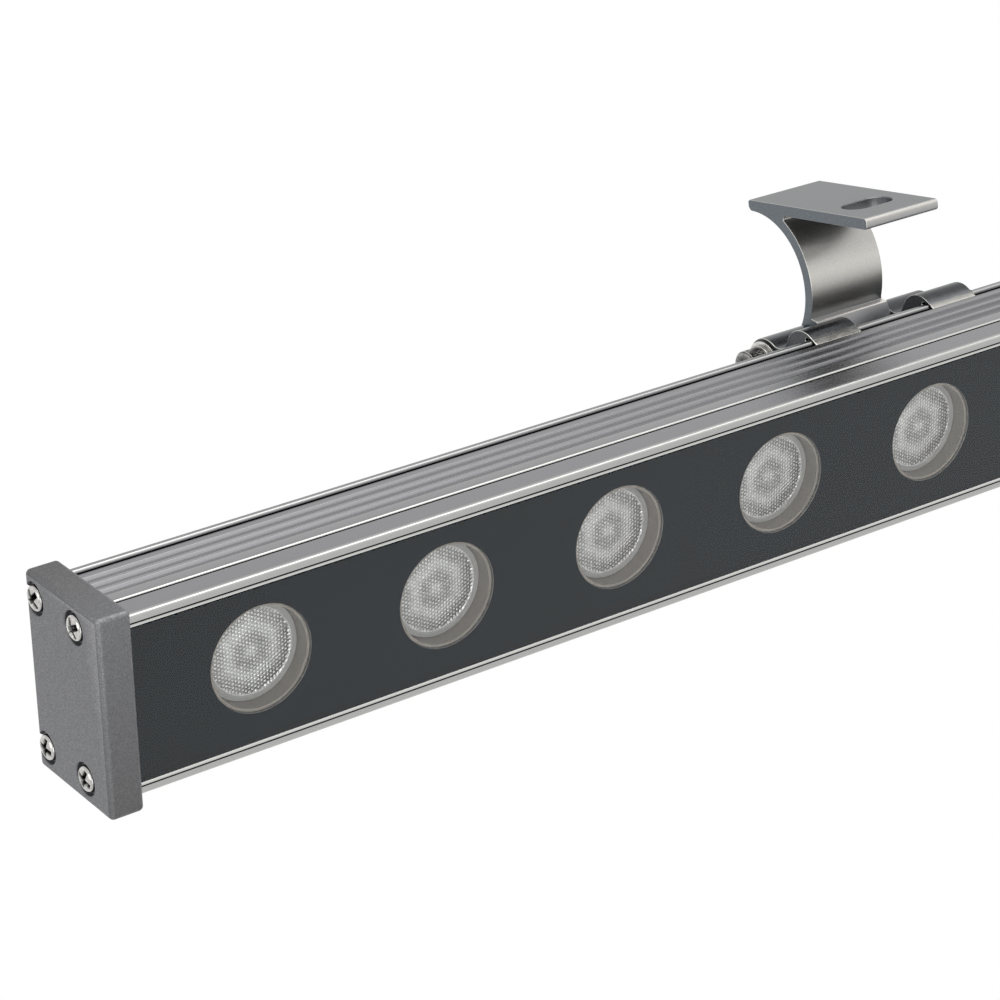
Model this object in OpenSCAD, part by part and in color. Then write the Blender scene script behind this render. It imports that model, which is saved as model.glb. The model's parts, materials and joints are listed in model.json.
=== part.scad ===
// Slim linear floodlight: an extruded lamp body hung from two swivel brackets.
// Row frame: X along the lamp, the wall plates level with their tops at Z = 0, the light thrown towards -Y.
// The origin lies midway between the two plate slots.

/* [Lamp body] */
// Length over both end caps
lamp_length = 1000; // [700:1:1500]
// Height of the extruded housing
housing_h = 35.3; // [34:0.1:44]
// Depth of the extruded housing from its front lips to its rear face
housing_d = 22.5; // [22:0.1:32]
// Thickness of the two side walls
side_wall = 2; // [1.6:0.1:3]
// Thickness of the rear wall
rear_wall = 3; // [2.8:0.1:5]
// Height of each front lip beside the glass
lip_h = 2.4; // [1.8:0.1:4]
// Thickness of the shelf that carries the glass
shelf_t = 1.5; // [1:0.1:2]
// Reach of the shelf into the light opening, from the lip
shelf_reach = 1.65; // [1:0.05:3]
// Tilt of the lamp body under level wall plates, in degrees, front edge down
lamp_tilt = 9.6; // [-20:0.1:40]

/* [Ribbed sides] */
// Width of the hook bead along the rear edge
bead_w = 1.75; // [1.2:0.05:2.2]
// Chamfer on the inner corner of the bead
bead_chamfer = 0.5; // [0.1:0.05:0.6]
// Width of the hook groove
groove_w = 1.4; // [1.2:0.05:2]
// Depth of the hook groove
groove_d = 1; // [0.6:0.05:1.2]
// Number of shallow flutes on each side
flute_count = 3; // [1:1:3]
// Distance between two flutes
flute_pitch = 2.97; // [2.6:0.01:3.2]
// Distance from the rear face to the first flute
flute_from_rear = 6; // [5:0.1:6.4]
// Radius of a flute's hollow
flute_r = 1.5; // [1:0.1:2]
// Depth of a flute
flute_d = 0.5; // [0.2:0.05:0.8]
// Depth of the flat land behind the front lips
land_d = 5.7; // [4:0.1:6]
// Width of the narrow shadow groove behind the land
shadow_w = 0.8; // [0.4:0.05:1]
// Depth of the narrow shadow groove
shadow_d = 0.9; // [0.4:0.05:1.1]
// Width and depth of the fine line along each lip's front
line_w = 0.25; // [0.1:0.01:0.4]
// Distance of the fine line from the housing's side
line_from_side = 1.5; // [0.8:0.05:1.8]
// Chamfer along the outer edges of the housing
edge_chamfer = 0.3; // [0.1:0.05:0.5]

/* [Glass] */
// Thickness of the front glass
glass_t = 3; // [2:0.1:4]
// Thickness of the printed mask on the back of the glass
mask_t = 0.2; // [0.1:0.05:0.3]
// Margin of a clear window in the mask round its optic
window_margin = 0.85; // [0.4:0.05:1.5]
// Thickness of the silicone bead behind the glass
seal_t = 0.4; // [0.2:0.05:0.8]

/* [Light engine] */
// Room between an optic's rim and the screw bosses along the sides
optic_room = 2.6; // [2.2:0.05:3.5]
// Thickness of the optic's rim
lens_rim_t = 1.2; // [0.8:0.1:2]
// Height of the optic's front above the board
lens_rise = 10.9; // [9.8:0.1:11]
// Height of the optic's foot above the board
lens_foot = 1; // [0.9:0.1:1.5]
// Radius of the optic at its foot
lens_foot_r = 3.8; // [3.4:0.1:4.4]
// Radius of the well over the light source
lens_well_r = 2.6; // [2:0.1:2.8]
// Depth of the well over the light source
lens_well_d = 4.6; // [2.5:0.1:6]
// Width of the ledge in the holder that carries the optic's rim
holder_ledge = 0.35; // [0.2:0.05:0.6]
// Radial play of the optic in the holder's sleeve
sleeve_play = 0.2; // [0.1:0.05:0.4]
// Wall of the sleeve in front of the optic
sleeve_t = 0.55; // [0.4:0.05:1]
// Distance of the sleeve's front from the mask
sleeve_gap = 0.3; // [0.1:0.05:0.8]
// Room between the circuit board and the screw bosses
board_room = 0.35; // [0.2:0.05:1.5]
// Thickness of the circuit board
board_t = 1.6; // [1:0.1:2]
// Thickness of the thermal pad
pad_t = 0.5; // [0.3:0.1:0.6]
// Side of a light source's square base
chip_w = 3.5; // [2.5:0.1:4]
// Thickness of the base
chip_t = 0.7; // [0.4:0.1:1]
// Radius of the light source's dome
chip_dome_r = 1.3; // [0.8:0.1:1.5]
// Room between a driver module and the holders beside it
driver_room = 3.25; // [2:0.05:6]
// Length, width and height of a driver module
driver_x = 13; // [8:0.1:20]
driver_w = 16; // [8:0.1:18]
driver_h = 6.5; // [4:0.1:8]
// Length, width and height of the supply terminal
terminal_x = 9; // [6:0.1:10]
terminal_w = 15; // [10:0.1:18]
terminal_h = 7; // [5:0.1:8]
// Distance of the terminal from the board's end
terminal_from_end = 3; // [1:0.1:4]
// Least room between the terminal and the last holder
terminal_room = 1.2; // [0.5:0.1:4]
// Length, width and height of the plug between the two boards
link_x = 12; // [8:0.1:14]
link_w = 9; // [6:0.1:14]
link_h = 3.5; // [2:0.1:5]

/* [End caps] */
// Thickness of a cap
cap_t = 6.8; // [6:0.1:9]
// Reach of a cap above and below the housing
cap_rim = 2.15; // [1.5:0.05:4]
// Reach of a cap in front of the housing
cap_front = 2.1; // [1.5:0.05:4]
// Reach of a cap behind the housing
cap_rear = 1.2; // [1:0.05:3]
// Rounding of a cap's edges
cap_round = 1.3; // [0.5:0.1:2]
// Depth of the pocket that takes the housing
pocket_d = 2; // [1.5:0.1:3]
// Thickness of the gasket in the pocket
gasket_t = 1; // [0.5:0.1:1.2]
// Width of rubber between a screw hole and the gasket's window
gasket_web = 2.3; // [1.5:0.05:4]

/* [Cap screws] */
// Distance of the screws from the housing's sides
port_from_side = 2.7; // [2.6:0.05:3.4]
// Distance of the front screws from the housing's lips
port_from_front = 6.6; // [6:0.05:7.5]
// Distance of the rear screws from the housing's rear face
port_from_rear = 1.85; // [1.8:0.05:2.6]
// Radius of the boss round a screw port
port_boss_r = 2.6; // [2.2:0.05:2.8]
// Mean diameter of the screw's thread
screw_d = 2.7; // [2.2:0.05:3]
// Length of a cap screw under its head
cap_screw_l = 12; // [9:0.5:20]
// Length of a board screw under its head
board_screw_l = 4; // [3.4:0.1:4.6]
// Diameter of a pan head
pan_d = 5.6; // [4.6:0.1:6]
// Height of a pan head
pan_h = 2.4; // [1.6:0.1:3]
// Rounding of a pan head's edge
pan_round = 1; // [0.4:0.1:1.5]
// Diameter of the shallow seat under a cap screw's head
seat_d = 7; // [6.2:0.1:8]
// Depth of the shallow seat
seat_depth = 0.6; // [0.2:0.1:1.2]
// Width and depth of the cross recess in a pan head
cross_w = 0.7; // [0.4:0.05:1]
cross_d = 1.4; // [0.8:0.1:1.6]
// Length of the cross recess
cross_l = 3; // [2:0.1:3.6]

/* [Cable gland] */
// Diameter of the gland's thread
gland_d = 12; // [10:0.1:12.5]
// Width across the flats of the gland's hexagons
gland_flats = 15; // [14:0.1:15.2]
// Thickness of the gland's flange
gland_flange_t = 4; // [2:0.1:8]
// Length of the thread that the pressure nut runs on
gland_tail_l = 7; // [5:0.1:12]
// Thickness of the flat washer under the flange
gland_washer_t = 1; // [0.5:0.1:2]
// Length of the pressure nut
gland_nut_l = 11; // [9:0.1:18]
// Thickness of the lock nut inside the cap
lock_nut_t = 2.8; // [1.5:0.1:3]
// Diameter of the cable that the seal takes
cable_d = 6.2; // [4:0.1:6.6]
// Clear diameter through the gland's metal parts
gland_clear_d = 7.2; // [7:0.1:7.6]
// Outer diameter of the rubber seal
gland_seal_d = 9.4; // [8.6:0.1:9.8]
// Length of the rubber seal
gland_seal_l = 7; // [4:0.1:8]

/* [Brackets] */
// Distance between the two brackets
bracket_spacing = 594; // [200:1:900]
// Distance of the hinge axis behind the housing
hinge_behind = 13.05; // [12:0.05:16]
// Height of the hinge axis above the housing's middle
hinge_rise = 8.5; // [6:0.1:10]
// Radius of the hinge barrels
barrel_r = 5; // [4.6:0.1:5.6]
// Width of the arm
arm_w = 19.9; // [16:0.1:40]
// Gap between the arm and each clip
arm_gap = 0.15; // [0.05:0.05:0.4]
// Height of the plate's top above the hinge axis
plate_rise = 30.3; // [29:0.1:45]
// Reach of the plate in front of the hinge axis
plate_front = 21; // [18:0.1:40]
// Reach of the plate behind the hinge axis
plate_back = 16.5; // [16:0.1:30]
// Thickness of the plate
plate_t = 2.4; // [2:0.1:4]
// Rounding of the plate's front edge
plate_round = 1; // [0.4:0.1:1]
// Inner radius of the curved leg
leg_r = 15.55; // [15:0.05:16.4]
// Thickness of the curved leg
leg_t = 2.35; // [2:0.05:3]
// Distance of the curved leg's centre behind the hinge axis
leg_back = 15.9; // [15.4:0.1:16.4]
// Rounding between the leg and the plate
leg_fillet = 0.7; // [0.3:0.1:3]
// Length of the slot in the plate
slot_l = 12; // [8:0.1:15]
// Width of the slot in the plate
slot_w = 6.5; // [4:0.1:8]
// Distance of the slot in front of the hinge axis
slot_ahead = 10.2; // [9:0.1:12]

/* [Clips] */
// Width of a clip
clip_w = 12.3; // [9:0.1:20]
// Gap between the clips and the housing
clip_gap = 0.15; // [0.1:0.05:0.3]
// Radius of the clip's round crown
crown_r = 5; // [4.8:0.05:5.6]
// Distance of the crown's centre behind the housing
crown_behind = 1.7; // [1.4:0.05:2]
// Distance of the crown's centre below the housing's side
crown_drop = 3.75; // [3.4:0.05:4]
// Radius of the hollow between the crown and the barrel
waist_r = 3.1; // [2.4:0.1:5]
// Thickness of the hook's lip
lip_t = 0.95; // [0.7:0.05:1.1]
// Thickness of the clip's foot along the housing
foot_t = 4.85; // [4:0.05:7]
// Reach of the foot below the housing's middle
foot_drop = 4; // [3.5:0.1:8]
// Radius of the relief in the hook's inner corner
relief_r = 0.6; // [0.3:0.05:0.8]
// Height of the set screw below the housing's middle
set_screw_drop = 1; // [0:0.1:1.4]
// Length of the set screw
set_screw_l = 4; // [3:0.1:5]
// Width across the flats of the set screw's socket
set_socket = 2; // [1.5:0.1:2.5]

/* [Hinge hardware] */
// Diameter of the hinge bolt
bolt_d = 4; // [3:0.1:4.2]
// Length of the hinge bolt under its head
bolt_l = 50; // [50:0.5:100]
// Diameter of the bolt's head
bolt_head_d = 7; // [6:0.1:8]
// Height of the bolt's head
bolt_head_h = 4; // [3:0.1:5]
// Chamfer on the rim of the bolt's head
bolt_head_chamfer = 0.4; // [0.1:0.05:0.6]
// Width across the flats of the bolt's socket
bolt_socket = 3; // [2.5:0.1:4]
// Depth of the sockets
socket_depth = 2; // [1:0.1:2.2]
// Diameter of the spring washer
spring_washer_d = 7.6; // [6.4:0.1:8]
// Thickness of the spring washer
spring_washer_t = 0.9; // [0.6:0.1:1.4]
// Width of the slit in the spring washer
washer_slit = 0.6; // [0.2:0.1:1]
// Diameter of the flat washer
flat_washer_d = 9; // [8:0.1:10]
// Thickness of the flat washer
flat_washer_t = 0.8; // [0.5:0.1:1.2]
// Width across the flats of the nut
nut_flats = 7; // [6.5:0.1:8]
// Thickness of the nut
nut_t = 3.2; // [2:0.1:4]

/* [Fits] */
// Radial play of the bolt in the hinge
hinge_fit = 0.05; // [0.02:0.01:0.1]
// Radial play of threads, pins and bushes that are screwed home
thread_fit = 0.02; // [0.01:0.01:0.05]
// Play between parts that are laid in each other
lay_fit = 0.1; // [0.05:0.05:0.2]
// Radial play of screws in their through holes
screw_play = 0.3; // [0.1:0.05:0.4]

/* [Hidden] */
$fn = 64;
// Overrun of cuts
over = 1;

// Housing section, in lamp depth (0 at the caps' front faces) and height (0 at the middle)
front_y = cap_front;
rear_y = front_y + housing_d;
half_h = housing_h / 2;
mouth_z = half_h - lip_h;
inner_z = half_h - side_wall;
window_z = mouth_z - shelf_reach;
glass_back_y = front_y + glass_t;
mask_back_y = glass_back_y + mask_t;
shelf_y = mask_back_y + seal_t;
cavity_y = shelf_y + shelf_t;
wall_y = rear_y - rear_wall;
board_y = wall_y - pad_t - board_t;
port_z = half_h - port_from_side;
port_ys = [front_y + port_from_front, rear_y - port_from_rear];
groove_y = rear_y - bead_w - groove_w;

// Optics, as wide as the bosses leave room for, in sleeves that reach to the mask
lens_d = 2 * (port_z - port_boss_r - optic_room);
window_d = lens_d + 2 * window_margin;
sleeve_r = lens_d / 2 + sleeve_play;
holder_r = sleeve_r + sleeve_t;
ledge_r = lens_d / 2 - holder_ledge;
sleeve_top = board_y - mask_back_y - sleeve_gap;
flank_steps = 8;
board_w = 2 * (port_z - port_boss_r - board_room);
led_pitch = 2 * (holder_r + driver_room) + driver_x;

// Places along the lamp
inner_x = lamp_length / 2 - cap_t;
insert_d = pocket_d - gasket_t;
housing_l = 2 * (inner_x + insert_d);
board_end_gap = 2.5;
board_split_gap = 0.4;
led_end_room = cap_t + board_end_gap + terminal_from_end + terminal_x + terminal_room + holder_r;
led_count = 1 + floor((lamp_length - 2 * led_end_room) / led_pitch);
left_count = floor(led_count / 2);
board_end_x = inner_x - board_end_gap;
split_x = led_x(left_count) - led_pitch / 2;

// Cap
cap_d = front_y + housing_d + cap_rear;
cap_h = housing_h + 2 * cap_rim;
gland_y = (mask_back_y + wall_y) / 2;
cap_skin_t = cap_t - pocket_d;
gasket_window_h = 2 * (port_z - screw_d / 2 - screw_play - gasket_web);

// Bracket
hinge_y = rear_y + hinge_behind;
bracket_w = arm_w + 2 * arm_gap + 2 * clip_w;
bore_r = bolt_d / 2 + hinge_fit;
leg_rise = plate_rise - plate_t - leg_r;
leg_start_deg = 90;
leg_end_deg = 215;
leg_wedges = 5;
shoulder_deg = 225;
crown_y = rear_y + crown_behind;
crown_z = half_h - crown_drop;
ledge_front = 2.7;
ledge_rise = 6.1;
ledge_top = 6.5;
plate_back_round = 2;
foot_round = 1;

// Distance along the lamp of an optic, counted from 0 at the left
function led_x(i) = (i - (led_count - 1) / 2) * led_pitch;
// Middle of the gap after an optic
function gap_x(i) = led_x(i) + led_pitch / 2;
function driver_gaps() = [for (i = [0:led_count - 2]) if (i % 4 == 1 && i != left_count - 1) i];
function screw_gaps() = [for (i = [0:led_count - 2]) if (i % 2 == 0 && i != left_count - 1) i];
// Point at an angle on a circle
function polar(r, deg) = r * [cos(deg), sin(deg)];

// Turns a drawing of depth and height into a bar along the lamp, centred on its length
module along_lamp(length) rotate([90, 0, 90]) linear_extrude(height = length, center = true) children();

// Carries the lamp's own frame to the row frame
module in_lamp() translate([0, slot_ahead, -plate_rise]) rotate([lamp_tilt, 0, 0])
  translate([0, -hinge_y, -hinge_rise]) children();

// Places of the two brackets
module at_bracket(side) translate([side * bracket_spacing / 2, 0, 0]) children();

// Origin on the board under an optic, Z towards the light
module at_board(x) translate([x, board_y, 0]) rotate([90, 0, 0]) children();

module both_ways() for (way = [-1, 1]) scale([1, way]) children();

module hexagon(flats, height) cylinder(d = flats / cos(30), h = height, $fn = 6);

// Pan head screw standing on Z = 0 with its shank below
module pan_screw(shank_l) {
  difference() {
    rotate_extrude() pan_head_half();
    for (turn = [0, 90]) rotate([0, 0, turn])
      translate([-cross_l / 2, -cross_w / 2, pan_h - cross_d]) cube([cross_l, cross_w, cross_d + over]);
  }
  translate([0, 0, -shank_l]) cylinder(d = screw_d, h = shank_l);
}

module pan_head_half() {
  square([pan_d / 2 - pan_round, pan_h]);
  square([pan_d / 2, pan_h - pan_round]);
  translate([pan_d / 2 - pan_round, pan_h - pan_round]) circle(pan_round);
}

// Housing

module housing_section() difference() {
  housing_outline();
  translate([front_y - over, -mouth_z]) square([over + shelf_y - front_y, 2 * mouth_z]);
  translate([front_y, -window_z]) square([cavity_y - front_y + over, 2 * window_z]);
  difference() {
    translate([cavity_y, -inner_z]) square([wall_y - cavity_y, 2 * inner_z]);
    both_ways() for (y = port_ys) translate([y, port_z]) circle(port_boss_r);
  }
  both_ways() for (y = port_ys) translate([y, port_z]) circle(d = screw_d + 2 * thread_fit);
  both_ways() side_grooves();
}

module housing_outline() polygon(concat(
  [for (way = [1, -1]) [front_y, way * (half_h - edge_chamfer)]],
  [for (y = [front_y + edge_chamfer, rear_y - edge_chamfer]) [y, -half_h]],
  [for (way = [-1, 1]) [rear_y, way * (half_h - edge_chamfer)]],
  [for (y = [rear_y - edge_chamfer, front_y + edge_chamfer]) [y, half_h]]));

module side_grooves() {
  translate([groove_y, half_h - groove_d]) square([groove_w, groove_d + over]);
  polygon([[rear_y - bead_w, half_h - bead_chamfer], [rear_y - bead_w + bead_chamfer, half_h],
           [rear_y - bead_w + bead_chamfer, half_h + over], [groove_y, half_h + over]]);
  for (i = [0:flute_count - 1])
    translate([rear_y - flute_from_rear - i * flute_pitch, half_h - flute_d + flute_r]) circle(flute_r);
  translate([front_y + land_d, half_h - shadow_d]) square([shadow_w, shadow_d + over]);
  translate([front_y - over, half_h - line_from_side - line_w]) square([over + line_w, line_w]);
}

module housing() color("silver") in_lamp() difference() {
  along_lamp(housing_l) housing_section();
  for (i = screw_gaps()) at_board(gap_x(i)) translate([0, 0, -board_screw_l - lay_fit])
    cylinder(d = screw_d + 2 * thread_fit, h = board_screw_l);
}

// Glass and its seal

module front_glass() color("darkslategray", 0.5) in_lamp() along_lamp(housing_l)
  translate([front_y, lay_fit - mouth_z]) square([glass_t, 2 * (mouth_z - lay_fit)]);

module glass_mask() color("dimgray") in_lamp() difference() {
  along_lamp(housing_l) translate([glass_back_y, lay_fit - mouth_z])
    square([mask_t, 2 * (mouth_z - lay_fit)]);
  for (i = [0:led_count - 1]) translate([led_x(i), glass_back_y - over, 0])
    rotate([-90, 0, 0]) cylinder(d = window_d, h = mask_t + 2 * over);
}

module glass_seal() color("black") in_lamp() along_lamp(housing_l)
  both_ways() translate([mask_back_y, window_z]) square([seal_t, shelf_reach - lay_fit]);

// Light engine

module board(x0, x1, y, thickness) difference() {
  translate([x0, y, -board_w / 2]) cube([x1 - x0, thickness, board_w]);
  for (i = screw_gaps()) translate([gap_x(i), y - over, 0]) rotate([-90, 0, 0])
    cylinder(d = screw_d + 2 * screw_play, h = thickness + 2 * over);
}

module left_led_board() color("white") in_lamp()
  board(-board_end_x, split_x - board_split_gap / 2, board_y, board_t);

module right_led_board() color("white") in_lamp()
  board(split_x + board_split_gap / 2, board_end_x, board_y, board_t);

module left_thermal_pad() color("lightblue") in_lamp()
  board(-board_end_x, split_x - board_split_gap / 2, board_y + board_t, pad_t);

module right_thermal_pad() color("lightblue") in_lamp()
  board(split_x + board_split_gap / 2, board_end_x, board_y + board_t, pad_t);

module board_screws() color("gainsboro") in_lamp()
  for (i = screw_gaps()) at_board(gap_x(i)) pan_screw(board_screw_l);

module led_chips() color("gold") in_lamp() for (i = [0:led_count - 1]) at_board(led_x(i)) {
  translate([-chip_w / 2, -chip_w / 2, 0]) cube([chip_w, chip_w, chip_t]);
  translate([0, 0, chip_t]) rotate_extrude() intersection() {
    circle(chip_dome_r);
    square(chip_dome_r);
  }
}

module driver_modules() color("black") in_lamp() for (i = driver_gaps()) at_board(gap_x(i))
  translate([-driver_x / 2, -driver_w / 2, 0]) cube([driver_x, driver_w, driver_h]);

module board_link() color("ivory") in_lamp() at_board(split_x)
  translate([-link_x / 2, -link_w / 2, 0]) cube([link_x, link_w, link_h]);

module supply_terminal() color("green") in_lamp() at_board(board_end_x - terminal_from_end - terminal_x)
  translate([0, -terminal_w / 2, 0]) cube([terminal_x, terminal_w, terminal_h]);

// The optic's flank swells from its foot to the rim like a parabola on its side
function flank(steps) = [for (i = [0:steps])
  [lens_foot_r + (ledge_r - lay_fit - lens_foot_r) * sqrt(i / steps),
   lens_foot + (lens_rise - lens_rim_t - lens_foot) * i / steps]];

module lens_half() polygon(concat(
  [[lens_well_r, lens_foot]], flank(flank_steps),
  [[lens_d / 2, lens_rise - lens_rim_t], [lens_d / 2, lens_rise], [0, lens_rise],
   [0, lens_foot + lens_well_d], [lens_well_r, lens_foot + lens_well_d - lens_well_r / 2]]));

module lenses() color("whitesmoke", 0.6) in_lamp()
  for (i = [0:led_count - 1]) at_board(led_x(i)) rotate_extrude() lens_half();

module holder_half() {
  translate([sleeve_r, 0]) square([sleeve_t, sleeve_top]);
  translate([ledge_r, 0]) square([holder_r - ledge_r, lens_rise - lens_rim_t]);
  translate([lens_foot_r, 0]) square([holder_r - lens_foot_r, lens_foot]);
}

module lens_holders() color("gray") in_lamp()
  for (i = [0:led_count - 1]) at_board(led_x(i)) rotate_extrude() holder_half();

// End caps, drawn for the end at +X and turned about by side

module cap_frame(side) in_lamp() mirror([side < 0 ? 1 : 0, 0, 0]) translate([inner_x, 0, 0]) children();

// Rectangle about the origin with round corners
module soft_rectangle(length, width, r) difference() {
  square([length, width], center = true);
  for (i = [-1, 1], j = [-1, 1]) translate([i * (length / 2 - r), j * (width / 2 - r)]) difference() {
    translate([i * r, j * r]) square(2 * r, center = true);
    circle(r);
  }
}

// Every edge is rounded where three soft bars cross
module cap_block() translate([cap_t / 2, cap_d / 2, 0]) intersection() {
  linear_extrude(height = cap_h, center = true) soft_rectangle(cap_t, cap_d, cap_round);
  rotate([90, 0, 0]) linear_extrude(height = cap_d, center = true) soft_rectangle(cap_t, cap_h, cap_round);
  along_lamp(cap_t) soft_rectangle(cap_d, cap_h, cap_round);
}

module at_ports() for (y = port_ys, z = [-port_z, port_z]) translate([0, y, z]) rotate([0, 90, 0]) children();

module cap_blank() difference() {
  cap_block();
  translate([-over, front_y - lay_fit, -half_h - lay_fit])
    cube([over + pocket_d, housing_d + 2 * lay_fit, housing_h + 2 * lay_fit]);
  at_ports() {
    cylinder(d = screw_d + 2 * screw_play, h = cap_t + over);
    translate([0, 0, cap_t - seat_depth]) cylinder(d = seat_d, h = seat_depth + over);
  }
}

module left_end_cap() color("slategray") cap_frame(-1) cap_blank();

module right_end_cap() color("slategray") cap_frame(1) difference() {
  cap_blank();
  translate([0, gland_y, 0]) rotate([0, 90, 0]) cylinder(d = gland_d + 2 * thread_fit, h = cap_t + over);
}

module gasket() difference() {
  translate([insert_d, front_y, -half_h]) cube([gasket_t, housing_d, housing_h]);
  translate([insert_d - over, shelf_y, -gasket_window_h / 2])
    cube([gasket_t + 2 * over, wall_y - shelf_y, gasket_window_h]);
  at_ports() cylinder(d = screw_d + 2 * screw_play, h = pocket_d + over);
}

module left_end_gasket() color("black") cap_frame(-1) gasket();
module right_end_gasket() color("black") cap_frame(1) gasket();

module cap_screws() at_ports() translate([0, 0, cap_t - seat_depth]) pan_screw(cap_screw_l);

module left_cap_screws() color("gainsboro") cap_frame(-1) cap_screws();
module right_cap_screws() color("gainsboro") cap_frame(1) cap_screws();

// Cable gland, along +X from the inner face of its cap's skin

module at_gland() in_lamp() translate([inner_x + pocket_d, gland_y, 0]) rotate([0, 90, 0]) children();

gland_seal_out = 1;
gland_flange_x = cap_skin_t + gland_washer_t;
gland_tail_x = gland_flange_x + gland_flange_t;
gland_seal_x = gland_tail_x + gland_tail_l - gland_seal_l + gland_seal_out;

module gland_body() color("silver") at_gland() difference() {
  union() {
    translate([0, 0, -lock_nut_t]) cylinder(d = gland_d, h = gland_tail_x + gland_tail_l + lock_nut_t);
    translate([0, 0, gland_flange_x]) hexagon(gland_flats, gland_flange_t);
  }
  translate([0, 0, -lock_nut_t - over])
    cylinder(d = gland_clear_d, h = gland_tail_x + gland_tail_l + lock_nut_t + 2 * over);
  translate([0, 0, gland_seal_x]) cylinder(d = gland_seal_d + 2 * thread_fit, h = gland_seal_l + over);
}

module gland_washer() color("black") at_gland() translate([0, 0, cap_skin_t]) difference() {
  cylinder(d = gland_flats, h = gland_washer_t);
  translate([0, 0, -over]) cylinder(d = gland_d + 2 * thread_fit, h = gland_washer_t + 2 * over);
}

module gland_seal() color("black") at_gland() translate([0, 0, gland_seal_x]) difference() {
  cylinder(d = gland_seal_d, h = gland_seal_l);
  translate([0, 0, -over]) cylinder(d = cable_d, h = gland_seal_l + 2 * over);
}

module gland_nut() color("silver") at_gland() difference() {
  translate([0, 0, gland_tail_x + lay_fit]) intersection() {
    hexagon(gland_flats, gland_nut_l);
    cylinder(r1 = gland_flats, r2 = gland_clear_d / 2, h = gland_flats + gland_nut_l / 2);
  }
  translate([0, 0, gland_tail_x]) cylinder(d = gland_d + 2 * thread_fit, h = gland_tail_l + lay_fit);
  translate([0, 0, gland_tail_x])
    cylinder(d = gland_seal_d + 2 * thread_fit, h = gland_tail_l + gland_seal_out);
  translate([0, 0, gland_tail_x]) cylinder(d = gland_clear_d, h = gland_nut_l + gland_flats);
}

module gland_lock_nut() color("silver") at_gland() translate([0, 0, -lock_nut_t]) difference() {
  hexagon(gland_flats, lock_nut_t);
  translate([0, 0, -over]) cylinder(d = gland_d + 2 * thread_fit, h = lock_nut_t + 2 * over);
}

// Bracket arm, drawn about the hinge axis with depth to the rear and height up

module arm_section() {
  circle(barrel_r);
  polygon([[0, 0], [barrel_r / 2, barrel_r / 2], [0, ledge_top], [-ledge_front, ledge_rise], [-barrel_r, 0]]);
  leg_section();
  plate_section();
  leg_root();
}

module leg_section() translate([leg_back, leg_rise]) intersection() {
  difference() {
    circle(leg_r + leg_t);
    circle(leg_r);
  }
  polygon(concat([[0, 0]], [for (deg = [leg_start_deg:(leg_end_deg - leg_start_deg) / leg_wedges:leg_end_deg])
    polar(2 * (leg_r + leg_t), deg)]));
}

module plate_section() difference() {
  translate([-plate_front, plate_rise - plate_t]) square([plate_front + plate_back, plate_t]);
  translate([plate_back, plate_rise - plate_t]) rotate(45)
    square(plate_back_round, center = true);
  translate([-plate_front, plate_rise - plate_t]) rotate(45) square(plate_round, center = true);
  translate([-plate_front, plate_rise]) rotate(45) square(plate_round, center = true);
}

// Fillet where the leg's front runs into the underside of the plate
leg_fillet_y = leg_back - sqrt((leg_t + 2 * leg_fillet) * (2 * leg_r + leg_t));
leg_fillet_z = plate_rise - plate_t - leg_fillet;

module leg_root() difference() {
  polygon([[leg_fillet_y, leg_fillet_z], [leg_fillet_y + leg_fillet, leg_fillet_z - leg_fillet],
           [leg_back, plate_rise - plate_t], [leg_back, plate_rise - plate_t / 2],
           [leg_fillet_y, plate_rise - plate_t / 2]]);
  translate([leg_fillet_y, leg_fillet_z]) circle(leg_fillet);
}

module bracket_arm() color("lightsteelblue") translate([0, slot_ahead, -plate_rise]) difference() {
  along_lamp(arm_w) arm_section();
  translate([-arm_w, 0, 0]) rotate([0, 90, 0]) cylinder(r = bore_r, h = 2 * arm_w);
  for (x = [slot_w - slot_l, slot_l - slot_w]) translate([x / 2, -slot_ahead, plate_rise - plate_t - over])
    cylinder(d = slot_w, h = plate_t + 2 * over);
  translate([(slot_w - slot_l) / 2, -slot_ahead - slot_w / 2, plate_rise - plate_t - over])
    cube([slot_l - slot_w, slot_w, plate_t + 2 * over]);
}

module left_bracket_arm() at_bracket(-1) bracket_arm();
module right_bracket_arm() at_bracket(1) bracket_arm();

// Clips, drawn in the housing's section

crown_to_hinge = [hinge_y - crown_y, hinge_rise - crown_z];
waist_ahead = crown_to_hinge / 2;
waist_side = [-crown_to_hinge[1], crown_to_hinge[0]] / norm(crown_to_hinge);
waist_reach = sqrt(pow((crown_r + barrel_r) / 2 + waist_r, 2) - pow(norm(crown_to_hinge) / 2, 2));
waist_at = [crown_y, crown_z] + waist_ahead + waist_side * waist_reach;

module clip_section() {
  difference() {
    union() {
      translate([crown_y, crown_z]) circle(crown_r);
      translate([hinge_y, hinge_rise]) circle(barrel_r);
      difference() {
        polygon([[crown_y, crown_z], [rear_y, crown_z], [rear_y, -foot_drop],
                 [rear_y + foot_t - foot_round, -foot_drop], [rear_y + foot_t, foot_round - foot_drop],
                 [rear_y + foot_t, bolt_d / 2 - set_screw_drop],
                 [hinge_y, hinge_rise] + polar(barrel_r, shoulder_deg), [hinge_y, hinge_rise], waist_at]);
        translate(waist_at) circle(waist_r);
      }
    }
    translate([rear_y + clip_gap - 2 * crown_r, -housing_h])
      square([2 * crown_r, housing_h + half_h + clip_gap]);
    translate([rear_y + clip_gap + relief_r / 2, half_h - relief_r / 2]) circle(relief_r);
  }
  hook_lip();
}

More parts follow.
